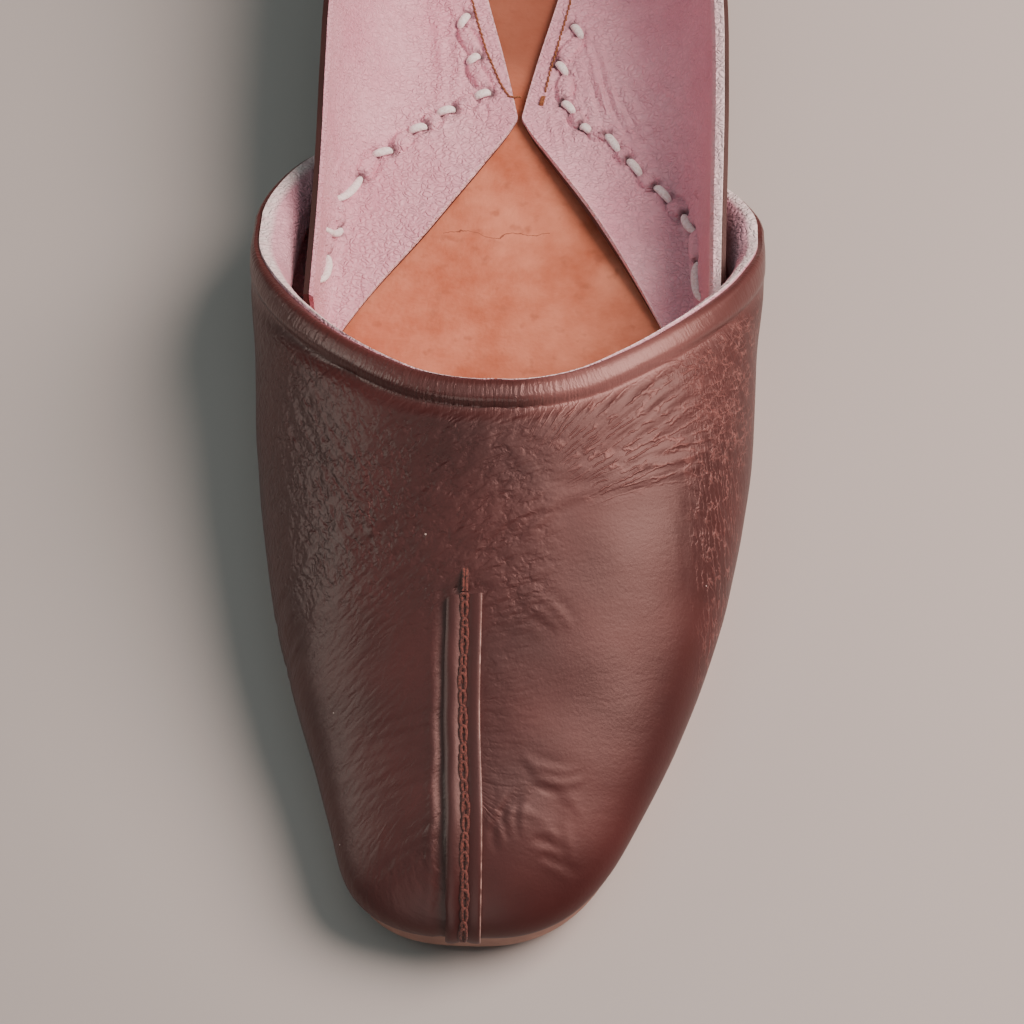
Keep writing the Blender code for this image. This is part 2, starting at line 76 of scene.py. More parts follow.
WELD = 0.0005
SHARP_EDGE = 0.7


def read(columns, rows, name, at):
    """Read a table's column at a place in its first column, on a smooth curve through the rows."""
    table = np.array(rows)
    places = table[:, 0]
    values = table[:, columns.index(name)]
    slopes = np.gradient(values, places)
    at = float(np.clip(at, places[0], places[-1]))
    row = int(np.clip(np.searchsorted(places, at) - 1, 0, len(places) - 2))
    span = places[row + 1] - places[row]
    t = (at - places[row]) / span
    rise = values[row + 1] - values[row]
    bend_in = slopes[row] * span - rise
    bend_out = -slopes[row + 1] * span + rise
    return values[row] + rise * t + t * (1 - t) * (bend_in * (1 - t) + bend_out * t)


def ease(start, end, at):
    """Go smoothly from 0 at start to 1 at end."""
    t = np.clip((at - start) / (end - start), 0.0, 1.0)
    return t * t * (3.0 - 2.0 * t)


def between(begin, full, fades, gone, at):
    """Go smoothly from 0 up to 1, and down to 0 again."""
    return ease(begin, full, at) * (1.0 - ease(fades, gone, at))


def centre(from_toe):
    """The middle line seen from above: it swings to the inner side at the toe."""
    swing = TOE_SWING * np.maximum(0.0, 1.0 - from_toe / TOE_SWING_ENDS) ** 2
    return swing + WAIST_SHIFT * ease(*WAIST_SHIFT_RANGE, from_toe)


def sole_bottom(from_toe):
    """Height of the sole's underside: flat under ball and heel, lifted at the toe and the waist."""
    spring = TOE_SPRING * max(0.0, 1.0 - from_toe / TOE_SPRING_ENDS) ** 2
    start, end = ARCH_RANGE
    arch = np.sin(np.pi * np.clip((from_toe - start) / (end - start), 0.0, 1.0)) ** 2
    return spring + ARCH_RISE * arch


def sole_top(from_toe):
    """Height of the sole's upper face."""
    return sole_bottom(from_toe) + SOLE_THICK


def end_round(depth, radius, squareness):
    """Share of the full half-width at a depth inside a rounded end."""
    inside = np.clip(1.0 - depth / radius, 0.0, 1.0)
    return (1.0 - inside ** squareness) ** (1.0 / squareness)


def sole_half(from_toe, side, toe_inset=SOLE_TIP, heel_inset=0.0, side_inset=0.0):
    """Half-width of the sole, or of an outline inside it, with both ends rounded."""
    width = read(SOLE_COLUMNS, SOLE_ROWS, SIDE_NAMES[side], from_toe) - side_inset
    toe = end_round(from_toe - toe_inset, TOE_ROUND, TOE_SQUARENESS)
    heel = end_round(LENGTH - heel_inset - from_toe, HEEL_ROUND, HEEL_SQUARENESS)
    return width * toe * heel


def to_frame(x, from_toe, z):
    """A point of the shoe in the part's frame, in millimetres."""
    return np.array((x - BOX_MIDDLE[0], from_toe - BOX_MIDDLE[1], z))


def from_frame(points):
    """Where points of the frame lie on the shoe: across it, and from the toe."""
    return points[:, 0] + BOX_MIDDLE[0], points[:, 1] + BOX_MIDDLE[1]


def round_places(radius, squareness, steps):
    """Depths that divide a rounded end evenly."""
    turns = np.linspace(0.0, np.pi / 2, steps + 1)
    return radius * (1.0 - np.cos(turns) ** (2.0 / squareness))


def slab_places(toe_tip, heel_tip):
    """Stations of a sole outline, close together where its ends turn."""
    toe = toe_tip + round_places(TOE_ROUND, TOE_SQUARENESS, SLAB_ROUND_STEPS)
    heel = heel_tip - round_places(HEEL_ROUND, HEEL_SQUARENESS, SLAB_ROUND_STEPS)
    middle = np.linspace(toe[-1], heel[-1], SLAB_MIDDLE_STEPS + 1)[1:-1]
    return [*toe, *middle, *heel[::-1]]


def slab_loop(from_toe, medial, lateral, bottom, top, edge_round):
    """A closed section of a slab: along the bottom, up the outer edge, back on top and down again."""
    corner = np.linspace(0.0, np.pi / 2, SLAB_CORNER_STEPS + 1)
    edges = {}
    for side, half in ((MEDIAL, medial), (LATERAL, lateral)):
        size = min(edge_round, half)
        out = half - size + size * np.concatenate((np.sin(corner), np.cos(corner)))
        rise = np.concatenate((bottom + size - size * np.cos(corner), top - size + size * np.sin(corner)))
        edges[side] = np.stack((side * out, rise), axis=1)
    share = np.linspace(0.0, 1.0, SLAB_ACROSS_STEPS + 1)[1:-1, None]
    low = edges[MEDIAL][0] + (edges[LATERAL][0] - edges[MEDIAL][0]) * share
    high = edges[LATERAL][-1] + (edges[MEDIAL][-1] - edges[LATERAL][-1]) * share
    loop = np.concatenate((low, edges[LATERAL], high, edges[MEDIAL][::-1]))
    return [to_frame(centre(from_toe) + x, from_toe, z) for x, z in loop]


def grid_faces(rows, columns, closed=False):
    """Four-cornered faces of a grid whose points are stored row by row."""
    row = np.arange(rows - 1)[:, None] * columns
    here = np.arange(columns if closed else columns - 1)
    after = (here + 1) % columns
    quads = np.stack((row + here, row + after, row + columns + after, row + columns + here), axis=-1)
    return quads.reshape(-1, 4)


def welded(points, faces):
    """Merge points that lie on each other and drop the faces that vanish; say which points were kept."""
    keys = np.round(np.asarray(points) / WELD).astype(np.int64)
    _, first, index = np.unique(keys, axis=0, return_index=True, return_inverse=True)
    kept = []
    for face in index.reshape(-1)[np.asarray(faces)]:
        corners = list(dict.fromkeys(face.tolist()))
        if len(corners) > 2:
            kept.append(corners)
    return np.asarray(points)[first], kept, first


def slab(places, half, bottom, top, edge_round):
    """A slab through stations, with its half-width, underside and upper face read at each."""
    loops = []
    for from_toe in places:
        halves = (half(from_toe, MEDIAL), half(from_toe, LATERAL))
        loops += slab_loop(from_toe, *halves, bottom(from_toe), top(from_toe), edge_round)
    length = len(loops) // len(places)
    return welded(loops, grid_faces(len(places), length, closed=True))[:2]


def uneven(points, size, depth):
    """Soft unevenness of hand-cut leather: a height for each point, with bumps of a size in millimetres."""
    return depth * np.array([noise.noise(Vector(point / size)) for point in points])


def linear(colour):
    """An sRGB hex colour as linear light."""
    parts = np.array([int(colour[i:i + 2], 16) for i in (1, 3, 5)]) / 255.0
    light = np.where(parts <= 0.04045, parts / 12.92, ((parts + 0.055) / 1.055) ** 2.4)
    return (*light, 1.0)


def feed(tree, node, inputs):
    """Set a node's inputs: each takes a value, a node for its first output, or a node and an output."""
    for socket, value in inputs.items():
        if isinstance(value, bpy.types.Node):
            value = (value, next(i for i, output in enumerate(value.outputs) if output.enabled))
        if isinstance(value, tuple) and isinstance(value[0], bpy.types.Node):
            tree.links.new(value[0].outputs[value[1]], node.inputs[socket])
        else:
            node.inputs[socket].default_value = value


def add(tree, kind, inputs=(), **options):
    """Add a node to a tree, set its options and feed its inputs. A mix node mixes colours."""
    node = tree.nodes.new(kind)
    if kind == "ShaderNodeMix":
        node.data_type = "RGBA"
    for option, value in options.items():
        setattr(node, option, value)
    feed(tree, node, dict(inputs))
    return node


def new_finish(name):
    """An empty finish with its shader, its output joined, and its tree."""
    finish = bpy.data.materials.new(name)
    finish.use_nodes = True
    finish.node_tree.nodes.clear()
    shader = add(finish.node_tree, "ShaderNodeBsdfPrincipled")
    add(finish.node_tree, "ShaderNodeOutputMaterial", {"Surface": shader})
    return finish, finish.node_tree, shader


def add_piece(name, points, faces, finish, slot, node, **attributes):
    """A piece of the shoe from points in millimetres, shaded smooth, standing for a node."""
    mesh = bpy.data.meshes.new(name)
    mesh.from_pydata(np.asarray(points) * MM, [], [list(face) for face in faces])
    for label, values in attributes.items():
        kind, field = ("FLOAT", "value") if np.ndim(values) == 1 else ("FLOAT2", "vector")
        layer = mesh.attributes.new(label, kind, "POINT")
        layer.data.foreach_set(field, np.asarray(values, np.float32).reshape(-1))
    mesh.materials.append(finish)
    mesh.shade_smooth()
    mesh.set_sharp_from_angle(angle=SHARP_EDGE)
    piece = bpy.data.objects.new(name, mesh)
    bpy.context.scene.collection.objects.link(piece)
    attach(piece, "root")
    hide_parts(node)
    return piece


# Mix node sockets when it mixes colours
MIX_A, MIX_B = 6, 7
EDGE_WAVE = 0.12
EDGE_WAVE_SIZE = 9.0
EDGE_WAVE_UPRIGHT = (1.0, 1.0, 0.3)
EDGE_WAVE_FULL = 4.0

# Vegetable-tanned sole leather, burnished: brown, fibrous along the cut edge, darker where it is dirty
sole_leather, tree, shader = new_finish("Burnished sole leather")
place = (add(tree, "ShaderNodeTexCoord"), "Object")
fibre_place = add(tree, "ShaderNodeMapping", {"Vector": place, "Scale": (1.0, 1.0, 5.0)})
fibre = add(tree, "ShaderNodeTexNoise", {"Vector": fibre_place, "Scale": 1 / (1.6 * MM), "Detail": 4.0})
dirt = add(tree, "ShaderNodeTexNoise", {"Vector": place, "Scale": 1 / (14 * MM), "Detail": 5.0})
dirt_share = add(tree, "ShaderNodeMapRange", {0: dirt, 1: 0.35, 2: 0.7})
brown = add(tree, "ShaderNodeMix", {"Factor": fibre, MIX_A: linear("#9c7265"), MIX_B: linear("#d0a08e")})
soiled = add(tree, "ShaderNodeMix", {"Factor": dirt_share, MIX_A: brown, MIX_B: linear("#8a6054")})
relief = add(tree, "ShaderNodeBump", {"Height": fibre, "Strength": 0.35, "Distance": 0.15 * MM})
feed(tree, shader, {"Base Color": soiled, "Roughness": 0.55, "Normal": relief})

points, faces = slab(slab_places(SOLE_TIP, LENGTH), sole_half, sole_bottom, sole_top, SOLE_EDGE_ROUND)
wave = uneven(points * EDGE_WAVE_UPRIGHT, EDGE_WAVE_SIZE, EDGE_WAVE)
points[:, 0] += wave * ease(0.0, EDGE_WAVE_FULL, points[:, 2])
add_piece("outsole_leather", points, faces, sole_leather, "sole_leather", "outsole")

# Insole
# A thin tan leather sheet laid on the sole under the foot. It is left undyed, with its smooth side up,
# and shows in an hourglass between the margins of the quarters. A fine crack crosses it behind the ball.
INSOLE_THICK = 1.5
INSOLE_EDGE_ROUND = 0.3
INSOLE_INSET_TOE = 6.0
INSOLE_INSET_FOREFOOT = 3.6
INSOLE_INSET_WAIST = 1.8
INSOLE_INSET_RANGE = (150.0, 172.0)
CRACK_PLACE = 147.0
CRACK_RANGE = (-13.0, 8.0)
CRACK_WIDTH = 0.07
CRACK_WANDER = 5.0
SHADE_RANGE = (176.0, 190.0)


def insole_half(from_toe, side):
    """Half-width of the insole, inside the vamp's wall in front and nearly to the sole's edge behind."""
    to_waist = ease(*INSOLE_INSET_RANGE, from_toe)
    inset = INSOLE_INSET_FOREFOOT + (INSOLE_INSET_WAIST - INSOLE_INSET_FOREFOOT) * to_waist
    return sole_half(from_toe, side, INSOLE_INSET_TOE, INSOLE_INSET_WAIST, inset)


def insole_bottom(from_toe):
    """Height of the insole's underside, just over the sole."""
    return sole_top(from_toe) + FIT_GAP


def insole_top(from_toe):
    """Height of the insole's upper face."""
    return insole_bottom(from_toe) + INSOLE_THICK


# Undyed insole leather: warm tan, dull and finely pored, mottled by handling, and darker behind the waist,
# partly its own colour and partly painted shade where it lies deep between the quarters
tan_leather, tree, shader = new_finish("Undyed tan leather")
place = (add(tree, "ShaderNodeTexCoord"), "Object")
mottle = add(tree, "ShaderNodeTexNoise", {
    "Vector": place, "Scale": 1 / (11 * MM), "Detail": 6.0, "Roughness": 0.62})
pores = add(tree, "ShaderNodeTexNoise", {"Vector": place, "Scale": 1 / (0.7 * MM), "Detail": 3.0})
spots = add(tree, "ShaderNodeTexNoise", {"Vector": place, "Scale": 1 / (3.2 * MM), "Detail": 2.0})
mottle_share = add(tree, "ShaderNodeMapRange", {0: mottle, 1: 0.32, 2: 0.7})
tan = add(tree, "ShaderNodeMix", {
    "Factor": mottle_share, MIX_A: linear("#b8613f"), MIX_B: linear("#e09070")})
spot_share = add(tree, "ShaderNodeMapRange", {0: spots, 1: 0.6, 2: 0.74, 4: 0.45})
spotted = add(tree, "ShaderNodeMix", {"Factor": spot_share, MIX_A: tan, MIX_B: linear("#9c5438")})
axes = add(tree, "ShaderNodeSeparateXYZ", {"Vector": place})
# Painted shade: the tan darkens behind the waist where it lies deep between the quarters, partly its own
# darker colour too
shade_begin, shade_end = ((from_toe - BOX_MIDDLE[1]) * MM for from_toe in SHADE_RANGE)
worn_share = add(tree, "ShaderNodeMapRange", {0: (axes, "Y"), 1: shade_begin, 2: shade_end, 4: 0.75})
worn = add(tree, "ShaderNodeMix", {"Factor": worn_share, MIX_A: spotted, MIX_B: linear("#8a5038")})
wander = add(tree, "ShaderNodeTexNoise", {"Vector": place, "Scale": 1 / (7 * MM), "Detail": 5.0})
wander_by = add(tree, "ShaderNodeMath", {0: wander, 1: CRACK_WANDER * MM}, operation="MULTIPLY")
crack_line = add(tree, "ShaderNodeMath", {0: (axes, "Y"), 1: wander_by}, operation="ADD")
crack_middle = (CRACK_PLACE - BOX_MIDDLE[1] + CRACK_WANDER / 2) * MM
crack_far = add(tree, "ShaderNodeMath", {
    0: crack_line, 1: crack_middle, 2: CRACK_WIDTH * MM}, operation="COMPARE")
crack_side = add(tree, "ShaderNodeMath", {
    0: (axes, "X"), 1: sum(CRACK_RANGE) / 2 * MM, 2: np.ptp(CRACK_RANGE) / 2 * MM}, operation="COMPARE")
crack_gap = add(tree, "ShaderNodeMapRange", {0: mottle, 1: 0.36, 2: 0.46})
crack_here = add(tree, "ShaderNodeMath", {0: crack_far, 1: crack_side}, operation="MULTIPLY")
crack = add(tree, "ShaderNodeMath", {0: crack_here, 1: crack_gap}, operation="MULTIPLY")
cracked = add(tree, "ShaderNodeMix", {"Factor": crack, MIX_A: worn, MIX_B: linear("#8c5038")})
relief = add(tree, "ShaderNodeBump", {"Height": pores, "Strength": 0.6, "Distance": 0.14 * MM})
feed(tree, shader, {"Base Color": cracked, "Roughness": 0.72, "Normal": relief, "Sheen Weight": 0.15})

places = slab_places(INSOLE_INSET_TOE, LENGTH - INSOLE_INSET_WAIST)
points, faces = slab(places, insole_half, insole_bottom, insole_top, INSOLE_EDGE_ROUND)
add_piece("insole_leather", points, faces, tan_leather, "tan_leather", "insole")

# Vamp
# The front of the upper: one piece of waxed oxblood leather, lasted wet over toe and instep.
# Its throat is folded over a cord into a soft roll, and its two wings run back outside the quarters.
VAMP_TIP = -0.7
FEATHER_TIP = 1.1
FEATHER_TIP_FADES = 40.0
FEATHER_INSET = 0.8
RIDGE_TIP = 20.0
RIDGE_SHIFT = -2.0
SLOPE_STEP = 0.5
VAMP_COLUMNS = ("from_toe", "medial", "lateral", "widest_height", "ridge_height")
VAMP_ROWS = (
    (0.0, 20.7, 18.0, 2.2, 10.5), (20.0, 28.4, 26.3, 6.6, 17.6), (40.0, 36.0, 34.2, 9.8, 25.2),
    (56.0, 40.4, 39.4, 11.5, 31.6), (72.0, 43.5, 43.0, 12.5, 37.6), (90.0, 45.9, 45.6, 14.5, 43.7),
    (110.0, 47.3, 46.4, 18.5, 48.0), (128.0, 49.3, 47.4, 23.4, 50.6), (136.0, 49.2, 47.2, 23.4, 51.4),
)
WINGS_BEGIN = 136.0
THROAT_COLUMNS = ("share", "medial", "lateral")
THROAT_ROWS = (
    (-0.1, 90.2, 91.0), (0.0, 87.8, 87.8), (0.1, 90.2, 91.0), (0.18, 95.2, 97.0), (0.27, 101.8, 104.4),
    (0.36, 108.4, 111.2), (0.455, 114.6, 117.4), (0.55, 120.0, 122.8), (0.65, 124.6, 127.0),
    (0.8, 130.0, 131.4), (1.0, 136.0, 136.0),
)
WING_ENDS = {MEDIAL: 158.5, LATERAL: 153.0}
WING_COLUMNS = ("share", "medial", "lateral", "top_height")
WING_ROWS = (
    (0.0, 49.2, 47.2, 23.4), (0.13, 48.7, 46.8, 22.4), (0.4, 46.8, 45.2, 19.7),
    (0.66, 43.9, 42.8, 17.0), (0.85, 41.2, 40.6, 14.5), (1.0, 38.8, 38.6, 12.0),
)
LEATHER_THICK = 1.35
ROLL_WIDTH = 5.0
ROLL_HEIGHT = 1.0
ROLL_DROP = 0.9
ROLL_SQUARENESS = 3
ROLL_BACK_SQUARENESS = 3.5
ROLL_GROOVE = 0.4
ROLL_GROOVE_WIDTH = 3.5
ROLL_BANK = 0.25
ROLL_BANK_REACH = (9.5, 18.0)
ROLL_FADE = (102.0, 132.0)
OFF_ROLL = (4.5, 8.0)
CUT_ROUND = 0.6
CUT_ROUND_WIDTH = 1.2
VAMP_WAVE = 0.2
VAMP_WAVE_SIZE = 11.0
VAMP_ROWS_ACROSS = 104
EDGE_BAND = 6.0
EDGE_BAND_ROWS = 0.18
EDGE_BAND_FULL = 0.3
PROUD_GROWS = (0.3, 0.9)
VAMP_TOE_STEPS = 28
VAMP_FRONT_STEPS = 72
VAMP_ROLL_REACH = 10.0
VAMP_ROLL_STEPS = 26
VAMP_THROAT_STEPS = 52
VAMP_WING_STEPS = 30
SECTION_POINTS = 60
ARCH_LENGTH = 70.0

# Main creases: soft troughs (below 0) and ridges from a start to an end, bowed sideways, in parallel copies
CREASE_COLUMNS = ("x", "from_toe", "x_end", "from_toe_end", "bow", "height", "width", "copies", "spacing")
CREASES = (
    (-39.0, 98.0, -28.0, 72.0, -0.6, -0.16, 0.7, 4, 1.9),
    (-36.0, 83.0, -27.0, 66.0, -0.6, -0.14, 0.7, 3, 1.8),
    (-29.0, 71.0, -24.0, 62.0, 0.0, -0.14, 0.8, 2, 1.8), (-24.0, 80.0, -11.0, 82.0, 1.0, -0.10, 0.8, 2, 1.6),
    (-26.0, 67.0, -4.0, 77.0, 0.8, -0.16, 0.9, 4, 2.6), (-24.0, 61.0, -8.0, 68.0, 0.5, -0.15, 0.9, 3, 2.2),
    (-11.0, 58.5, 2.0, 69.0, 0.6, 0.20, 0.8, 3, 1.7), (-21.0, 51.0, -7.0, 61.5, 0.8, -0.14, 0.9, 3, 2.2),
    (-40.0, 52.0, -33.0, 61.0, 0.0, -0.24, 0.8, 4, 1.9), (-39.0, 47.0, -33.0, 55.0, 0.0, -0.20, 0.8, 3, 1.8),
    (13.0, 76.0, 36.0, 101.0, 0.5, 0.16, 0.8, 6, 2.0), (9.0, 73.0, 37.0, 85.0, -1.5, 0.16, 0.8, 3, 1.8),
    (1.0, 63.5, 13.0, 72.5, 1.2, 0.16, 0.8, 3, 1.6), (32.0, 78.0, 36.0, 60.0, 1.0, -0.06, 0.8, 5, 1.6),
    (32.0, 77.0, 42.0, 73.0, 0.0, 0.15, 0.8, 2, 2.0), (5.0, 53.5, 13.0, 48.0, 0.4, 0.12, 0.8, 2, 1.8),
    (6.0, 26.5, 16.0, 25.0, -1.5, 0.12, 0.8, 2, 1.6), (3.0, 21.0, 13.0, 14.0, 3.0, -0.12, 0.9, 3, 1.7),
    (7.0, 13.0, 14.0, 10.0, 0.5, -0.12, 0.8, 2, 1.6), (2.0, 12.0, 3.0, 20.0, 1.0, -0.12, 0.8, 3, 1.5),
    (-28.0, 19.0, -12.0, 24.0, 0.6, -0.14, 0.9, 4, 2.2), (-27.0, 28.0, -11.0, 32.0, 0.5, -0.12, 0.9, 3, 2.2),
    (-20.0, 9.0, -11.0, 15.0, 0.5, -0.14, 0.8, 4, 1.8), (-10.2, 58.0, -8.9, -8.0, 0.0, -0.25, 1.0, 1, 1.0),
    (-9.8, 54.7, -2.8, 54.9, 0.0, -0.45, 0.45, 1, 1.0),
)
CREASE_BANK = 0.45
CREASE_BANK_OFF = 1.7
CREASE_BANK_WIDTH = 0.8
CREASE_DEPTH = 1.5
CREASE_SLIP = 2.0
CREASE_SLIP_TURN = 5.0
CREASE_WAVER = 0.15
CREASE_WAVER_RATE = 0.6
CREASE_WAVER_TURN = 2.0
CREASE_TAPER = 0.7
CREASE_COPY_FADE = 0.25


def vamp_half(from_toe, side, inset):
    """Half-width of the vamp at its widest, seen from above."""
    width = read(VAMP_COLUMNS, VAMP_ROWS, SIDE_NAMES[side], from_toe) - inset
    return width * end_round(from_toe - VAMP_TIP - inset, TOE_ROUND, TOE_SQUARENESS)


def feather_point(from_toe, side, inset=0.0):
    """Where the vamp's wall meets the sole, just inside the sole's edge."""
    left = max(0.0, 1.0 - (from_toe - VAMP_TIP - inset) / FEATHER_TIP_FADES)
    place = from_toe + (FEATHER_TIP - VAMP_TIP) * left ** 2
    half = sole_half(place, side, FEATHER_TIP + inset, 0.0, FEATHER_INSET + inset)
    return to_frame(centre(place) + side * half, place, sole_top(place) + FIT_GAP)


def ridge_point(from_toe):
    """The vamp's highest line, continued over the open throat."""
    height = read(VAMP_COLUMNS, VAMP_ROWS, "ridge_height", from_toe)
    return to_frame(centre(from_toe) + RIDGE_SHIFT, from_toe, sole_top(from_toe) + height)


def ridge_slope(from_toe):
    """How fast the ridge climbs towards the throat."""
    ahead, behind = ridge_point(from_toe + SLOPE_STEP), ridge_point(from_toe - SLOPE_STEP)
    return (ahead[2] - behind[2]) / (ahead[1] - behind[1])


def wall_curve(feather, widest):
    """Lower wall: it leaves the sole leaning outward and stands upright at the widest line."""
    t = np.linspace(0.0, 1.0, SECTION_POINTS)[:, None]
    plan = feather[:2] + (widest[:2] - feather[:2]) * np.sin(t * np.pi / 2)
    return np.hstack((plan, feather[2] + (widest[2] - feather[2]) * t))


def vamp_section(from_toe, side, inset=0.0, arch_end=1.0):
    """One girth of the vamp, from the feather line over the widest line towards the ridge."""
    half = vamp_half(from_toe, side, inset)
    height = read(VAMP_COLUMNS, VAMP_ROWS, "widest_height", from_toe)
    widest = to_frame(centre(from_toe) + side * half, from_toe, sole_top(from_toe) + height)
    lower = wall_curve(feather_point(from_toe, side, inset), widest)
    ridge_place = np.hypot(from_toe, RIDGE_TIP)
    ridge = ridge_point(ridge_place) - (0.0, 0.0, inset)
    along = (ridge[1] - widest[1]) * ridge_slope(ridge_place)
    turn = arch_end * np.linspace(0.0, 1.0, SECTION_POINTS)[1:, None] * np.pi / 2
    inward = 1.0 - np.cos(turn)
    plan = widest[:2] + (ridge[:2] - widest[:2]) * inward
    rise = (ridge[2] - widest[2] - along) * np.sin(turn) + along * inward
    return np.vstack((lower, np.hstack((plan, widest[2] + rise))))


def throat_section(share, side, inset, proud):
    """One girth that ends at the throat's edge, or a little beyond it where a lining stands proud."""
    place = read(THROAT_COLUMNS, THROAT_ROWS, SIDE_NAMES[side], share)
    arch_end = (1.0 - share) ** 2 + share * proud / ARCH_LENGTH
    return vamp_section(place + proud * (1.0 - share), side, inset, arch_end)


def wing_section(share, side, inset, proud):
    """One girth of a wing behind the throat, from the feather line up to its cut edge."""
    from_toe = WINGS_BEGIN + share * (WING_ENDS[side] - WINGS_BEGIN)
    half = read(WING_COLUMNS, WING_ROWS, SIDE_NAMES[side], share) - inset
    height = read(WING_COLUMNS, WING_ROWS, "top_height", share) + proud
    top = to_frame(centre(from_toe) + side * half, from_toe, sole_top(from_toe) + height)
    return wall_curve(feather_point(from_toe, side, inset), top)


def run_along(line):
    """Distance of each point of a line from its start."""
    return np.concatenate(([0.0], np.cumsum(np.linalg.norm(np.diff(line, axis=0), axis=1))))


def at_run(run, values, at):
    """Values given along a line, read at distances from its start."""
    return np.stack([np.interp(at, run, column) for column in np.transpose(values)], axis=-1)


def spread(section, rows, to_edge, arch):
    """Points along a girth, spaced as on the full arch or crowded at its edge, and their way up."""
    run = run_along(section)
    share = np.linspace(0.0, 1.0, rows + 1)
    band = min(EDGE_BAND, run[-1] / 2)
    crowded = np.interp(share, (0.0, 1.0 - EDGE_BAND_ROWS, 1.0), (0.0, run[-1] - band, run[-1]))
    at = (1.0 - to_edge) * np.minimum(share * arch, run[-1]) + to_edge * crowded
    return at_run(run, section, at), at


def vamp_girths(side, rows, fineness, inset, proud):
    """One side's girths from the toe to the end of the wing, the line of its edge, and where each point lies
    on the leather laid flat: across from the ridge and along from the toe."""
    throat = read(THROAT_COLUMNS, THROAT_ROWS, SIDE_NAMES[side], 0.0)
    toe = VAMP_TIP + inset + round_places(TOE_ROUND, TOE_SQUARENESS, round(VAMP_TOE_STEPS * fineness))
    to_roll = np.linspace(0.0, 1.0, round(VAMP_FRONT_STEPS * fineness) + 1)[1:]
    front = toe[-1] + (throat - VAMP_ROLL_REACH - toe[-1]) * to_roll
    over_roll = np.linspace(1.0, 0.0, round(VAMP_ROLL_STEPS * fineness) + 1)[1:-1]
    roll = throat + proud["middle"] - VAMP_ROLL_REACH * over_roll
    girths, edge, flat = [], [], []

    def keep(section, place, to_edge, arch):
        points, at = spread(section, rows, to_edge, arch)
        girths.append(points)
        flat.append(np.stack((side * (arch - at), np.full(len(at), place)), axis=1))

    for place in (*toe, *front, *roll):
        section = vamp_section(place, side, inset)
        keep(section, place, 0.0, run_along(section)[-1])
    for share in np.linspace(0.0, 1.0, round(VAMP_THROAT_STEPS * fineness) + 1):
        stands = proud["middle"] + (proud[side] - proud["middle"]) * ease(*PROUD_GROWS, share)
        section = throat_section(share, side, inset, stands)
        place = read(THROAT_COLUMNS, THROAT_ROWS, SIDE_NAMES[side], share)
        arch = run_along(vamp_section(place, side, inset))[-1]
        keep(section, place, ease(0.0, EDGE_BAND_FULL, share), arch)
        edge.append(section[-1])
    for share in np.linspace(0.0, 1.0, round(VAMP_WING_STEPS * fineness) + 1)[1:]:
        section = wing_section(share, side, inset, proud[side])
        keep(section, WINGS_BEGIN + share * (WING_ENDS[side] - WINGS_BEGIN), 1.0, arch)
        edge.append(section[-1])
    return girths, np.array(edge), flat


def vamp_sheets(rows, fineness, insets, proud):
    """Faces of the vamp set in from its outer one: their points, the faces they share, the first one's
    edge from the inner wing to the outer, and where each point lies on the leather laid flat."""
    sheets, faces, flats, edges = [[] for _ in insets], [], [], []
    for side in (MEDIAL, LATERAL):
        for sheet, inset in zip(sheets, insets):
            girths, edge, flat = vamp_girths(side, rows, fineness, inset, proud)
            first = len(sheet)
            sheet.extend(np.concatenate(girths))
            if inset == insets[0]:
                quads = grid_faces(len(girths), rows + 1) + first
                faces.append(quads if side == MEDIAL else quads[:, ::-1])
                flats.extend(np.concatenate(flat))
                edges.append(edge)
    _, faces, kept = welded(sheets[0], np.concatenate(faces))
    line = np.concatenate((edges[0][::-1], edges[1][1:]))
    return [np.array(sheet)[kept] for sheet in sheets], faces, line, np.array(flats)[kept]


def sheet_normals(points, faces):
    """The direction that a sheet faces at each of its points."""
    mesh = bpy.data.meshes.new("sheet")
    mesh.from_pydata(points, [], faces)
    directions = np.empty(len(points) * 3, np.float32)
    mesh.vertex_normals.foreach_get("vector", directions)
    bpy.data.meshes.remove(mesh)
    return directions.reshape(-1, 3).astype(float)


def closed_wall(outer, inner, faces):
    """Close two sheets of the same faces into a wall."""
    count = len(outer)
    sides = {}
    for face in faces:
        for start, end in zip(face, face[1:] + face[:1]):
            sides[(start, end)] = (end, start) not in sides
            if not sides[(start, end)]:
                sides[(end, start)] = False
    open_sides = [side for side, is_open in sides.items() if is_open]
    rim = [(end, start, start + count, end + count) for start, end in open_sides]
    back = [[corner + count for corner in face[::-1]] for face in faces]
    return np.concatenate((outer, inner)), [*faces, *back, *rim]


def wall(points, faces, outer, inner):
    """Close a sheet into a wall whose two faces stand off it by outer and inner, in millimetres."""
    facing = sheet_normals(points, faces)
    return closed_wall(
        points + facing * np.reshape(outer, (-1, 1)), points + facing * np.reshape(inner, (-1, 1)), faces)


def from_line(points, line, spacing=0.25):
    """Distance of each point from a line, and how far along the line its nearest place is."""
    run = run_along(line)
    at = np.arange(0.0, run[-1], spacing)
    dense = at_run(run, line, at)
    tree = kdtree.KDTree(len(dense))
    for index, point in enumerate(dense):
        tree.insert(point, index)
    tree.balance()
    found = [tree.find(point) for point in points]
    return np.array([hit[2] for hit in found]), np.array([hit[1] for hit in found]) * spacing


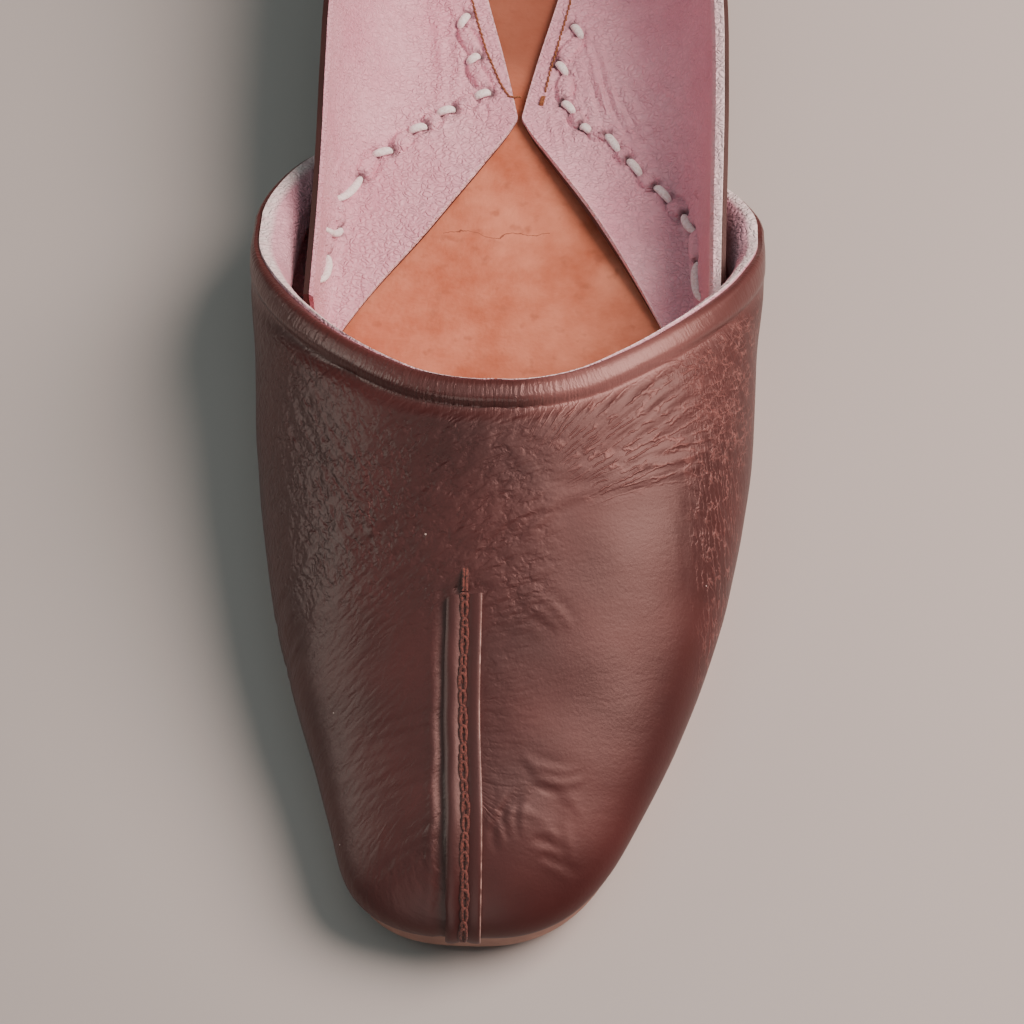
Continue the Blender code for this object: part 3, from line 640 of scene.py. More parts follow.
def roll_lift(distance, from_toe):
    """How far the rolled throat stands out of the vamp, and the soft groove below it."""
    half = ROLL_WIDTH / 2
    to_rim = np.clip(1.0 - distance / half, 0.0, 1.0)
    to_vamp = np.clip((distance - half) / half, 0.0, 1.0)
    turned = 1.0 - (1.0 - to_rim ** ROLL_SQUARENESS) ** (1 / ROLL_SQUARENESS)
    rim = ROLL_HEIGHT - (ROLL_HEIGHT + ROLL_DROP) * turned
    back = ROLL_HEIGHT - (ROLL_HEIGHT + ROLL_GROOVE) * to_vamp ** ROLL_BACK_SQUARENESS
    roll = np.where(distance < half, rim, back)
    from_groove = ease(ROLL_WIDTH, ROLL_WIDTH + ROLL_GROOVE_WIDTH, distance)
    groove = ROLL_GROOVE * from_groove
    bank = ROLL_BANK * from_groove * (1.0 - ease(*ROLL_BANK_REACH, distance))
    fade = 1.0 - ease(*ROLL_FADE, from_toe)
    cut = -CUT_ROUND * np.clip(1.0 - distance / CUT_ROUND_WIDTH, 0.0, 1.0) ** 2
    return fade * (roll + groove + bank) + (1.0 - fade) * cut


def crease_lift(x, from_toe, creases):
    """Height of the main creases at places on the shoe seen from above."""
    lift = np.zeros(len(x))
    for row in creases:
        crease = dict(zip(CREASE_COLUMNS, row))
        start = np.array((crease["x"], crease["from_toe"]))
        along = np.array((crease["x_end"], crease["from_toe_end"])) - start
        length = np.linalg.norm(along)
        along /= length
        across = np.array((-along[1], along[0]))
        for copy in range(crease["copies"]):
            order = copy - (crease["copies"] - 1) / 2
            slip = CREASE_SLIP * np.sin(CREASE_SLIP_TURN * copy + crease["x"])
            begin = start + across * order * crease["spacing"] + along * slip
            t = ((x - begin[0]) * along[0] + (from_toe - begin[1]) * along[1]) / length
            off = (x - begin[0]) * across[0] + (from_toe - begin[1]) * across[1]
            inside = np.clip(t, 0.0, 1.0)
            off = off - 4.0 * crease["bow"] * inside * (1.0 - inside)
            off = off + CREASE_WAVER * np.sin(CREASE_WAVER_RATE * t * length + CREASE_WAVER_TURN * copy)
            taper = np.where((t > 0.0) & (t < 1.0), np.sin(np.pi * inside) ** CREASE_TAPER, 0.0)
            width = crease["width"]
            trough = np.exp(-(off / width) ** 2)
            beside = (np.abs(off) - CREASE_BANK_OFF * width) / (CREASE_BANK_WIDTH * width)
            bank = CREASE_BANK * np.exp(-beside ** 2)
            lift += crease["height"] * (1.0 - CREASE_COPY_FADE * abs(order)) * taper * (trough - bank)
    return lift


# Waxed oxblood leather: a deep red dye under a soft wax, so broad grey sheens lie over fine wrinkles.
# Thin raised lines fan out to the outer side and net the outer wall, painted paler, partly rubbed wax and
# partly a painted highlight on their ridges; ripples with fine furrows cross the instep and the inner side.
# The roll is rubbed smoother, and painted paler, partly wear and partly a painted highlight, most on its
# outer side, and a few specks of dust lie on it all.
WRINKLE_COLUMNS = ("name", "along", "across", "shiver", "line", "line_height", "line_light", "ripple_height")
WRINKLES = (
    ("fan", 13.0, 1.5, 0.3, 0.16, 0.6, 0.6, 0.8), ("wall", 5.0, 1.25, 0.9, 0.16, 0.8, 0.8, 0.6),
    ("net", 4.2, 1.3, 0.9, 0.15, 0.8, 0.8, 0.6), ("instep", 4.6, 1.5, 0.7, 0.35, -0.45, 0.0, 1.5),
    ("inner", 3.0, 1.3, 0.9, 0.35, -0.7, 0.0, 1.6),
)
WRINKLE_HEIGHT = 0.17
SHIVER_SIZE = 1.3
WRINKLE_BEND = 0.9
WRINKLE_BEND_SIZE = 5.0
WRINKLE_GAP_SIZE = 3.0
GRAIN = 0.55
GRAIN_HEIGHT = 0.03
SCRATCH_SIZES = (0.55, 4.0)
ROLL_POLISH = 0.16
DUST_SPACING = 6.5
DUST_SIZE = 0.03


def oxblood(name, wrinkled, deep="#361415", light="#481c1c"):
    """Oxblood leather between two reds; a wrinkled one reads the vamp's own attributes."""
    finish, tree, shader = new_finish(name)
    place = (add(tree, "ShaderNodeTexCoord"), "Object")
    tone = add(tree, "ShaderNodeTexNoise", {"Vector": place, "Scale": 1 / (21 * MM), "Detail": 5.0})
    tone_share = add(tree, "ShaderNodeMapRange", {0: tone, 1: 0.3, 2: 0.7})
    red = add(tree, "ShaderNodeMix", {"Factor": tone_share, MIX_A: linear(deep), MIX_B: linear(light)})
    grain = add(tree, "ShaderNodeTexNoise", {"Vector": place, "Scale": 1 / (GRAIN * MM), "Detail": 3.0})
    gloss = add(tree, "ShaderNodeMapRange", {0: tone, 1: 0.3, 2: 0.7, 3: 0.40, 4: 0.48})
    fine = add(tree, "ShaderNodeBump", {"Height": grain, "Strength": 1.0, "Distance": GRAIN_HEIGHT * MM})
    feed(tree, shader, {
        "Base Color": red, "Roughness": gloss, "Normal": fine, "Specular Tint": linear("#f7d0ca"),
        "Specular IOR Level": 0.72, "Coat Weight": 0.08, "Coat Roughness": 0.42})
    if not wrinkled:
        return finish
    skin = add(tree, "ShaderNodeAttribute", attribute_name="skin")
    bend = add(tree, "ShaderNodeTexNoise", {
        "Vector": (skin, "Vector"), "Scale": 1 / WRINKLE_BEND_SIZE, "Detail": 2.0}, noise_dimensions="2D")
    gaps = add(tree, "ShaderNodeTexNoise", {
        "Vector": (skin, "Vector"), "Scale": 1 / WRINKLE_GAP_SIZE, "Detail": 2.0}, noise_dimensions="2D")
    unbroken = add(tree, "ShaderNodeMapRange", {0: gaps, 1: 0.36, 2: 0.60, 3: 0.1, 4: 1.0})
    shiver = add(tree, "ShaderNodeTexNoise", {
        "Vector": (skin, "Vector"), "Scale": 1 / SHIVER_SIZE, "Detail": 2.0}, noise_dimensions="2D")
    heights, lights = None, None
    for row in WRINKLES:
        wrinkle = dict(zip(WRINKLE_COLUMNS, row))
        flow = add(tree, "ShaderNodeAttribute", attribute_name=wrinkle["name"])
        bent = add(tree, "ShaderNodeVectorMath", {
            0: (bend, "Color"), 1: (WRINKLE_BEND, WRINKLE_BEND, 0.0), 2: (flow, "Vector")},
            operation="MULTIPLY_ADD")
        drawn = add(tree, "ShaderNodeMapping", {
            "Vector": bent, "Scale": (wrinkle["along"], wrinkle["across"], 1.0)}, vector_type="TEXTURE")
        ripple = add(tree, "ShaderNodeTexNoise", {
            "Vector": drawn, "Scale": 1.0, "Detail": 1.5}, noise_dimensions="2D")
        wavy = add(tree, "ShaderNodeVectorMath", {
            0: (shiver, "Color"), 1: (wrinkle["shiver"], wrinkle["shiver"], 0.0), 2: drawn},
            operation="MULTIPLY_ADD")
        cells = add(tree, "ShaderNodeTexVoronoi", {
            "Vector": wavy, "Scale": 1.0}, voronoi_dimensions="2D", feature="DISTANCE_TO_EDGE")
        line = add(tree, "ShaderNodeMapRange", {
            0: cells, 1: 0.0, 2: wrinkle["line"], 3: 1.0, 4: 0.0}, interpolation_type="SMOOTHSTEP")
        broken = add(tree, "ShaderNodeMath", {0: line, 1: unbroken}, operation="MULTIPLY")
        raised = add(tree, "ShaderNodeMath", {0: broken, 1: wrinkle["line_height"]}, operation="MULTIPLY")
        pale = add(tree, "ShaderNodeMath", {0: broken, 1: wrinkle["line_light"]}, operation="MULTIPLY")
        relief = add(tree, "ShaderNodeMath", {
            0: ripple, 1: wrinkle["ripple_height"], 2: raised}, operation="MULTIPLY_ADD")
        share = add(tree, "ShaderNodeAttribute", attribute_name=wrinkle["name"] + "_share")
        heights = add(tree, "ShaderNodeMath", {
            0: relief, 1: (share, "Fac"), 2: heights or 0.0}, operation="MULTIPLY_ADD")
        lights = add(tree, "ShaderNodeMath", {
            0: pale, 1: (share, "Fac"), 2: lights or 0.0}, operation="MULTIPLY_ADD")
    rim = add(tree, "ShaderNodeAttribute", attribute_name="rim")
    rim_place = add(tree, "ShaderNodeMapping", {
        "Vector": (rim, "Vector"), "Scale": (*SCRATCH_SIZES, 1.0)}, vector_type="TEXTURE")
    scratches = add(tree, "ShaderNodeTexNoise", {
        "Vector": rim_place, "Scale": 1.0, "Detail": 2.0}, noise_dimensions="2D")
    rolled = add(tree, "ShaderNodeAttribute", attribute_name="rolled")
    height = add(tree, "ShaderNodeMath", {
        0: scratches, 1: (rolled, "Fac"), 2: heights}, operation="MULTIPLY_ADD")
    relief = add(tree, "ShaderNodeBump", {
        "Height": height, "Normal": fine, "Strength": 1.0, "Distance": WRINKLE_HEIGHT * MM})
    # Raised lines painted paler: partly rubbed wax, partly a painted highlight on their ridges
    rubbed_and_highlit = add(tree, "ShaderNodeMath", {0: lights, 1: 0.5}, operation="MULTIPLY")
    # The roll painted paler: partly wear, partly a painted highlight, most on its outer side
    worn = add(tree, "ShaderNodeAttribute", attribute_name="worn")
    worn_and_highlit = add(tree, "ShaderNodeMix", {"Factor": (worn, "Fac"), MIX_A: red, MIX_B: linear("#a87672")})
    lighter = add(tree, "ShaderNodeMix", {"Factor": rubbed_and_highlit, MIX_A: worn_and_highlit, MIX_B: linear("#a9706a")})
    speck_cells = add(tree, "ShaderNodeTexVoronoi", {"Vector": place, "Scale": 1 / (DUST_SPACING * MM)})
    speck_sizes = add(tree, "ShaderNodeSeparateColor", {"Color": (speck_cells, "Color")})
    speck_size = add(tree, "ShaderNodeMath", {0: (speck_sizes, "Red"), 1: DUST_SIZE}, operation="MULTIPLY")
    speck = add(tree, "ShaderNodeMath", {0: speck_cells, 1: speck_size}, operation="LESS_THAN")
    dusty = add(tree, "ShaderNodeMix", {"Factor": speck, MIX_A: lighter, MIX_B: linear("#cbb8b0")})
    polished = add(tree, "ShaderNodeMath", {
        0: (rolled, "Fac"), 1: -ROLL_POLISH, 2: gloss}, operation="MULTIPLY_ADD")
    feed(tree, shader, {"Base Color": dusty, "Roughness": polished, "Normal": relief})
    return finish


flush = {"middle": 0.0, MEDIAL: 0.0, LATERAL: 0.0}
(vamp_outer, vamp_inner), vamp_faces, throat_line, vamp_flat = vamp_sheets(
    VAMP_ROWS_ACROSS, 1.0, (0.0, LEATHER_THICK), flush)
from_edge, along_edge = from_line(vamp_outer, throat_line)
vamp_x, vamp_place = from_frame(vamp_outer)
off_roll = ease(*OFF_ROLL, from_edge)
lift = roll_lift(from_edge, vamp_place)
lift += CREASE_DEPTH * off_roll * crease_lift(vamp_x, vamp_place, CREASES)
lift += off_roll * uneven(vamp_outer, VAMP_WAVE_SIZE, VAMP_WAVE)
outer = vamp_outer + sheet_normals(vamp_outer, vamp_faces) * lift[:, None]
points, faces = closed_wall(outer, vamp_inner, vamp_faces)

# Where the wrinkles run: each kind has its own way along and across them, and its share of the leather
FAN_APEX = (-6.0, 56.0)
FAN_RADIUS = 46.0
FAN_TURNS = (24.0, 32.0, 58.0, 70.0)
FAN_BEGINS = (22.0, 34.0)
FAN_LOST_IN_NET = 0.6
NET_TURN = 42.0
NET_BEGINS = (50.0, 62.0)
NET_ON_WALL = 0.8
WALL_APEX = (30.0, 120.0)
WALL_RADIUS = 52.0
WALL_TURNS = (-84.0, -74.0)
WALL_OUT = (28.0, 42.0, 82.0, 100.0)
WALL_BEGINS = (27.0, 41.0)
LOW_WALL = (47.0, 58.0)
LOW_WALL_LOSS = 0.7
INSTEP_TURN = 31.0
INSTEP_BOW = 0.002
INSTEP_BOW_MIDDLE = -10.0
INSTEP_ACROSS = (-34.0, -22.0, 3.0, 16.0)
INSTEP_FROM_TOE = (42.0, 56.0, 80.0, 92.0)
INSTEP_LEAST = 0.4
INSTEP_LEAST_LOSS = 0.32
INSTEP_LEAST_FADES = (0.0, 12.0)
INNER_TURN = -58.0
INNER_LINE = (-41.0, 85.0)
INNER_WIDTH = (5.0, 24.0)
INNER_LENGTH = (18.0, 44.0)
INNER_WALL_SHARE = 0.6
INNER_WALL_BEGINS = (36.0, 46.0)
INNER_WALL_FROM_TOE = (34.0, 46.0)
ROLLED = 0.9
ROLLED_LOSS = 0.4
ROLLED_FADES = (5.0, 20.0)
# How far the roll is painted paler across the shoe: partly wear, partly a painted highlight
WEAR_AND_HIGHLIGHT_LEAST = 0.12
WEAR_AND_HIGHLIGHT_MORE = 0.45
WEAR_AND_HIGHLIGHT_ACROSS = (0.0, 12.0, 22.0, 42.0)


def fan_flow(flat, apex, at_radius):
    """Way out from an apex, way round it at a fixed radius, and the direction in degrees."""
    out = flat - np.array(apex)
    turn = np.degrees(np.arctan2(out[:, 1], out[:, 0]))
    radius = np.hypot(out[:, 0], out[:, 1])
    return np.stack((radius, np.radians(turn) * at_radius), axis=1), turn, radius


def straight_flow(flat, turn, origin=(0.0, 0.0)):
    """Way along a direction and way across it."""
    out = flat - np.array(origin)
    along, across = np.cos(np.radians(turn)), np.sin(np.radians(turn))
    return np.stack((out[:, 0] * along + out[:, 1] * across, out[:, 1] * along - out[:, 0] * across), axis=1)


fan, fan_turn, fan_out = fan_flow(vamp_flat, FAN_APEX, FAN_RADIUS)
fan_share = between(*FAN_TURNS, fan_turn) * ease(*FAN_BEGINS, fan_out)
to_net = ease(*NET_BEGINS, fan_out)
net_share = fan_share * to_net
fan_share = fan_share * (1.0 - FAN_LOST_IN_NET * to_net)
net = straight_flow(vamp_flat, NET_TURN)
from_ridge = vamp_flat[:, 0]
wall_flow, wall_turn, wall_out = fan_flow(vamp_flat, WALL_APEX, WALL_RADIUS)
wall_share = ease(*WALL_TURNS, wall_turn) * between(*WALL_OUT, wall_out) * ease(*WALL_BEGINS, from_ridge)
wall_share = np.maximum(wall_share, NET_ON_WALL * net_share)
low_wall = 1.0 - LOW_WALL_LOSS * ease(*LOW_WALL, from_ridge)
instep = straight_flow(vamp_flat, INSTEP_TURN)
instep[:, 1] += INSTEP_BOW * (from_ridge - INSTEP_BOW_MIDDLE) ** 2
instep_share = between(*INSTEP_ACROSS, from_ridge) * between(*INSTEP_FROM_TOE, vamp_place)
instep_least = INSTEP_LEAST - INSTEP_LEAST_LOSS * ease(*INSTEP_LEAST_FADES, from_ridge)
inner_flow = straight_flow(vamp_flat, INNER_TURN, INNER_LINE)
inner_share = 1.0 - ease(*INNER_WIDTH, np.abs(inner_flow[:, 1]))
inner_share *= 1.0 - ease(*INNER_LENGTH, np.abs(inner_flow[:, 0]))
inner_wall = INNER_WALL_SHARE * ease(*INNER_WALL_BEGINS, -from_ridge)
inner_wall *= ease(*INNER_WALL_FROM_TOE, vamp_place)
flows = {"fan": fan, "wall": wall_flow, "net": net, "instep": instep, "inner": inner_flow}
shares = {
    "fan": fan_share, "wall": wall_share * low_wall, "net": net_share * low_wall,
    "instep": np.maximum(instep_share, instep_least), "inner": np.maximum(inner_share, inner_wall)}
wrinkle_layers = {name: np.tile(flow, (2, 1)) for name, flow in flows.items()}
wrinkle_layers.update({name + "_share": np.tile(share * off_roll, 2) for name, share in shares.items()})
rolled_share = (1.0 - off_roll) * (ROLLED - ROLLED_LOSS * ease(*ROLLED_FADES, vamp_x))
# Painted paleness on the roll: partly wear, partly a painted highlight standing in for the light on its top
worn_share = (1.0 - off_roll) * (WEAR_AND_HIGHLIGHT_LEAST + WEAR_AND_HIGHLIGHT_MORE * between(*WEAR_AND_HIGHLIGHT_ACROSS, vamp_x))
oxblood_vamp = oxblood("Waxed oxblood leather", wrinkled=True)
vamp = add_piece(
    "vamp_leather", points, faces, oxblood_vamp, "maroon_leather", "upper",
    skin=np.tile(vamp_flat, (2, 1)), rim=np.tile(np.stack((along_edge, from_edge), axis=1), (2, 1)),
    rolled=np.tile(rolled_share, 2), worn=np.tile(worn_share, 2), **wrinkle_layers)

# Vamp lining
# Soft mauve sheepskin pasted inside the vamp and cut a little proud of the throat, so that its pale edge
# shows as a thin line along the roll and swells into a broad soft rim on the wings.
LINING_THICK = 0.8
LINING_GAP = 0.05
LINING_RAW_EDGE = 0.3
LINING_PROUD = {"middle": 0.8, MEDIAL: 0.5, LATERAL: 1.0}
LINING_ROWS_ACROSS = 70
LINING_FINENESS = 1.0
RIM_PAD = {MEDIAL: 5.4, LATERAL: 3.8}
RIM_PAD_ROUND = 6.0
RIM_PAD_ENDS = (8.0, 17.0)
RIM_PAD_RANGE = (100.0, 124.0)
RIM_PAD_HEIGHTS = (11.0, 19.0)

# Mauve sheepskin: pale and dull, with a close pebbled grain; its cut edges are almost white. A painted
# highlight pales a band on the outer quarter, and painted shade darkens the needle holes
PEBBLE = 1.3


def sheepskin(name):
    """Mauve lining leather, paler at a raw edge and under a painted highlight, with painted shade in a
    needle's hole, where the attributes say so.
    """
    finish, tree, shader = new_finish(name)
    place = (add(tree, "ShaderNodeTexCoord"), "Object")
    tone = add(tree, "ShaderNodeTexNoise", {"Vector": place, "Scale": 1 / (14 * MM), "Detail": 5.0})
    tone_share = add(tree, "ShaderNodeMapRange", {0: tone, 1: 0.3, 2: 0.7})
    mauve = add(tree, "ShaderNodeMix", {
        "Factor": tone_share, MIX_A: linear("#e5a6b9"), MIX_B: linear("#f2bfce")})
    folds = add(tree, "ShaderNodeTexNoise", {"Vector": place, "Scale": 1 / (2.2 * MM), "Detail": 2.0})
    pulled = add(tree, "ShaderNodeVectorMath", {
        0: (folds, "Color"), 1: (2.0 * MM,) * 3, 2: place}, operation="MULTIPLY_ADD")
    stretch = add(tree, "ShaderNodeMapping", {"Vector": pulled, "Scale": (1.0, 1.5, 1.0)})
    cells = add(tree, "ShaderNodeTexVoronoi", {
        "Vector": stretch, "Scale": 1 / (PEBBLE * MM)}, feature="DISTANCE_TO_EDGE")
    pebbles = add(tree, "ShaderNodeMapRange", {0: cells, 1: 0.0, 2: 0.3}, interpolation_type="SMOOTHSTEP")
    valley = add(tree, "ShaderNodeMapRange", {0: pebbles, 1: 0.0, 2: 0.7, 3: 0.14, 4: 0.0})
    grained = add(tree, "ShaderNodeMix", {"Factor": valley, MIX_A: mauve, MIX_B: linear("#a8788a")})
    # Paler at raw edges, and under a painted highlight along the outer quarter's topline
    raw = add(tree, "ShaderNodeAttribute", attribute_name="raw_edge")
    pale = add(tree, "ShaderNodeMix", {"Factor": (raw, "Fac"), MIX_A: grained, MIX_B: linear("#fdf1f2")})
    # Painted shade: dark slits at the needle holes
    hole = add(tree, "ShaderNodeAttribute", attribute_name="hole")
    shaded_at_holes = add(tree, "ShaderNodeMix", {"Factor": (hole, "Fac"), MIX_A: pale, MIX_B: linear("#2e1a1d")})
    low = add(tree, "ShaderNodeBump", {"Height": folds, "Strength": 1.0, "Distance": 0.5 * MM})
    relief = add(tree, "ShaderNodeBump", {
        "Height": pebbles, "Normal": low, "Strength": 1.0, "Distance": 0.18 * MM})
    feed(tree, shader, {"Base Color": shaded_at_holes, "Roughness": 0.52, "Normal": relief, "Sheen Weight": 0.1})
    return finish


mauve_lining = sheepskin("Mauve sheepskin")
lining_insets = (LEATHER_THICK + LINING_GAP, LEATHER_THICK + LINING_THICK)
(outer, inner), lining_faces, lining_line, _ = vamp_sheets(
    LINING_ROWS_ACROSS, LINING_FINENESS, lining_insets, LINING_PROUD)
lining_edge, _ = from_line(outer, lining_line)
lining_x, lining_place = from_frame(outer)
pad = np.where(lining_x < 0.0, RIM_PAD[MEDIAL], RIM_PAD[LATERAL])
swell = np.sqrt(1.0 - (1.0 - np.clip(lining_edge / RIM_PAD_ROUND, 0.0, 1.0)) ** 2)
swell *= pad * ease(*RIM_PAD_RANGE, lining_place) * (1.0 - ease(*RIM_PAD_ENDS, lining_edge))
swell *= ease(*RIM_PAD_HEIGHTS, outer[:, 2])
inner = inner - sheet_normals(outer, lining_faces) * swell[:, None]
points, faces = closed_wall(outer, inner, lining_faces)
raw_edge = np.tile(1.0 - ease(0.0, LINING_RAW_EDGE, lining_edge), 2)
add_piece("vamp_lining", points, faces, mauve_lining, "mauve_lining", "upper", raw_edge=raw_edge)

# Quarters
# The two sides meet in one piece round the heel: oxblood leather outside and mauve lining inside.
# Their lower margins are turned in flat over the insole, cut to a curve, and sewn down by hand.
QUARTER_FRONT = 119.0
HEEL_CENTRE = 236.0
QUARTER_COLUMNS = ("from_toe", "margin_edge", "fold", "topline", "top_height")
QUARTER_ROWS = (
    (119.0, 32.6, 35.0, 37.0, 23.5), (134.0, 24.4, 34.6, 36.8, 25.0), (149.0, 15.4, 31.6, 36.8, 26.6),
    (163.0, 6.4, 26.4, 36.9, 28.4), (171.5, 1.3, 22.2, 36.9, 29.5), (173.5, 0.45, 21.2, 36.9, 29.8),
    (175.5, 0.8, 20.3, 36.9, 30.1), (188.0, 3.4, 17.4, 36.5, 32.0),
    (202.0, 6.8, 18.2, 35.6, 34.8), (220.0, 11.0, 23.0, 33.4, 39.0), (236.0, 13.4, 26.4, 31.4, 43.0),
)
QUARTER_WALL = 1.8
HEEL_DEPTH_MARGIN = 13.0
HEEL_DEPTH_FOLD = 27.8
HEEL_DEPTH_TOPLINE = 30.2
HEEL_TAB_RISE = 7.0
HEEL_TAB_SWING = 1.4
QUARTER_LINING = 0.75
QUARTER_LAYER_GAP = 0.1
LINING_OVER = 0.3
QUARTER_STEPS = 190
HEEL_STEPS = 44
MARGIN_STEPS = 44
QUARTER_WALL_STEPS = 38
FLAP_CURL = {MEDIAL: 0.4, LATERAL: 2.4}
FLAP_CURL_RANGE = (124.0, 174.0)
FLAP_CURL_WIDTH = 9.0
FLAP_CURL_WIDEST = 0.8
FLAP_CURL_SWING = 1.5
FLAP_CORNER = 4.0
FLAP_CORNER_ENDS = 150.0
RIM_FLARE = {MEDIAL: 0.0, LATERAL: 1.6}
RIM_FLARE_DEPTH = 5.0
RIM_FLARE_ENDS = (196.0, 232.0)
RIM_ROLL = {MEDIAL: 0.1, LATERAL: 0.55}
RIM_ROLL_WIDTH = 3.6
RIM_DROP = 0.6
RIM_DROP_WIDTH = 1.0
QUARTER_WAVE = 0.12
QUARTER_WAVE_SIZE = 9.0
MARGIN_CALM = (0.3, 2.0)
LINING_SLOPE_STEP = 0.2
RAW_RIM = 0.8
RAW_RIM_WIDTH = 0.6
RAW_MARGIN = 0.35
RAW_MARGIN_WIDTH = (0.05, 0.5)
# Painted highlight: a pale band below the outer topline, where the rolled rim catches the light
PAINTED_HIGHLIGHT_BAND = 0.4
PAINTED_HIGHLIGHT_BAND_FADES = (2.0, 5.0)

# Where each hand stitch comes up, and where it goes down again: x and from_toe, from the throat to the heel
FLAP_STITCHES = {
    MEDIAL: (
        (-36.0, 129.0, -35.3, 136.0), (-35.4, 140.0, -33.4, 144.6), (-33.6, 150.0, -30.1, 157.0),
        (-27.5, 163.2, -24.5, 164.5), (-20.7, 169.5, -17.9, 170.6), (-15.3, 174.1, -12.4, 175.1),
        (-7.9, 178.4, -5.4, 179.6), (-9.6, 187.2, -7.8, 188.8), (-11.7, 196.4, -10.2, 199.2)),
    LATERAL: (
        (36.5, 130.0, 36.0, 138.2), (35.2, 146.0, 33.8, 150.1), (30.8, 154.4, 28.3, 157.3),
        (25.0, 160.5, 22.9, 163.5), (20.6, 166.2, 18.5, 169.5), (14.8, 170.7, 13.5, 171.6),
        (11.6, 175.3, 9.7, 177.4), (10.0, 185.0, 8.4, 187.4), (13.0, 194.6, 11.4, 197.1)),
}
BEAD_HEIGHT = 1.0
BEAD_HALF_WIDTH = 1.7
BEAD_OUTLINE = 0.5
BEAD_OUTLINE_AT = 1.15
BEAD_OUTLINE_WIDTH = 0.18
HOLE_SLIT = (0.7, 1.3)
HOLE_BEYOND = 0.5
HOLE_DEPTH = 0.9
HOLE_SIZE = 0.8
# Painted shade in the needle holes, at a stitch's first and last hole
HOLE_PAINTED_SHADE = (0.5, 1.0)
PUCKER = 0.3
PUCKER_REACH = 2.6
PUCKER_RAYS = 9
PUCKER_BEGINS = (0.5, 1.5)
PUCKER_BELOW_RIM = (1.5, 4.5)
PUCKERS_END = (204.0, 214.0)

# Long soft folds of the quarters' margins, in the same columns as the vamp's creases
FLAP_FOLDS = (
    (14.0, 193.0, 18.5, 173.0, 0.4, 0.5, 0.8, 3, 2.4), (17.5, 187.0, 26.0, 164.5, -0.6, 0.5, 0.8, 3, 2.4),
    (22.0, 190.0, 33.0, 172.0, -0.6, -0.3, 0.9, 3, 3.0),
    (-17.5, 203.0, -15.0, 180.0, 0.6, -0.4, 1.2, 2, 3.5),
    (-6.0, 178.0, 0.5, 170.5, 0.4, -0.35, 0.7, 3, 1.5), (-5.0, 177.5, -4.5, 168.0, 0.3, -0.3, 0.7, 2, 1.7),
    (8.0, 175.0, 9.5, 165.0, 0.2, -0.3, 0.7, 3, 2.0), (-34.0, 131.0, -27.0, 132.0, 0.3, -0.35, 0.8, 3, 1.7),
)


def quarter_base(from_toe):
    """Height of the margin's upper face, lying on the insole."""
    return sole_top(from_toe) + INSOLE_THICK + 2 * FIT_GAP + QUARTER_WALL


def quarter_section(out, start, margin, fold, topline, base, top):
    """One section of a quarter: flat margin on the insole, fold, and the wall up to the topline."""
    flat = np.linspace(margin, fold, MARGIN_STEPS + 1)[:-1]
    turn = np.linspace(0.0, np.pi / 2, QUARTER_WALL_STEPS + 1)
    reach = np.concatenate((flat, fold + (topline - fold) * np.sin(turn)))
    rise = np.concatenate((np.zeros(MARGIN_STEPS), (top - base) * (1.0 - np.cos(turn))))
    return np.hstack((start + out * reach[:, None], (base + rise)[:, None]))


def quarter_sizes(from_toe):
    """Half-widths at the margin's edge, the fold and the topline, and the topline's height."""
    return [read(QUARTER_COLUMNS, QUARTER_ROWS, name, from_toe) for name in QUARTER_COLUMNS[1:]]


def quarter_side(from_toe, side, short):
    """A quarter's section beside the foot, cut short of its margin's edge, the margin curled up a little."""
    margin, fold, topline, height = quarter_sizes(from_toe)
    start = to_frame(centre(from_toe), from_toe, 0.0)[:2]
    top = sole_top(from_toe) + height
    base = quarter_base(from_toe)
    section = quarter_section(np.array((side, 0.0)), start, margin + short, fold, topline, base, top)
    to_rim = np.clip((section[:, 2] - top) / RIM_FLARE_DEPTH + 1.0, 0.0, 1.0)
    section[:, 0] += side * RIM_FLARE[side] * to_rim ** 2 * (1.0 - ease(*RIM_FLARE_ENDS, from_toe))
    begin, end = FLAP_CURL_RANGE
    along = np.sin(np.pi * np.clip((from_toe - begin) / (end - begin), 0.0, 1.0)) ** FLAP_CURL_SWING
    width = min(FLAP_CURL_WIDTH, FLAP_CURL_WIDEST * (fold - margin))
    inward = np.clip(1.0 - (np.abs(section[:, 0] - start[0]) - margin) / width, 0.0, 1.0)
    section[:, 2] += FLAP_CURL[side] * along * inward ** 2
    if side == MEDIAL:
        out = np.clip((np.abs(section[:, 0] - start[0]) - margin) / (topline - margin), 0.0, 1.0)
        section[:, 1] += FLAP_CORNER * (1.0 - out) * (1.0 - ease(QUARTER_FRONT, FLAP_CORNER_ENDS, from_toe))
    return section


def heel_reach(half, depth, turn):
    """Distance from the heel's centre to a rounded outline in a direction."""
    across = (abs(np.cos(turn)) / half) ** HEEL_SQUARENESS
    back = (np.sin(turn) / depth) ** HEEL_SQUARENESS
    return (across + back) ** (-1.0 / HEEL_SQUARENESS)


def quarter_heel(turn):
    """A section behind the heel's centre, in a direction turned from the outer side to the inner."""
    margin, fold, topline, height = quarter_sizes(HEEL_CENTRE)
    out = np.array((np.cos(turn), np.sin(turn)))
    start = to_frame(centre(HEEL_CENTRE), HEEL_CENTRE, 0.0)[:2]
    reaches = [heel_reach(half, depth, turn) for half, depth in (
        (margin, HEEL_DEPTH_MARGIN), (fold, HEEL_DEPTH_FOLD), (topline, HEEL_DEPTH_TOPLINE))]
    top = sole_top(HEEL_CENTRE) + height + HEEL_TAB_RISE * np.sin(turn) ** HEEL_TAB_SWING
    return quarter_section(out, start, *reaches, quarter_base(HEEL_CENTRE), top)


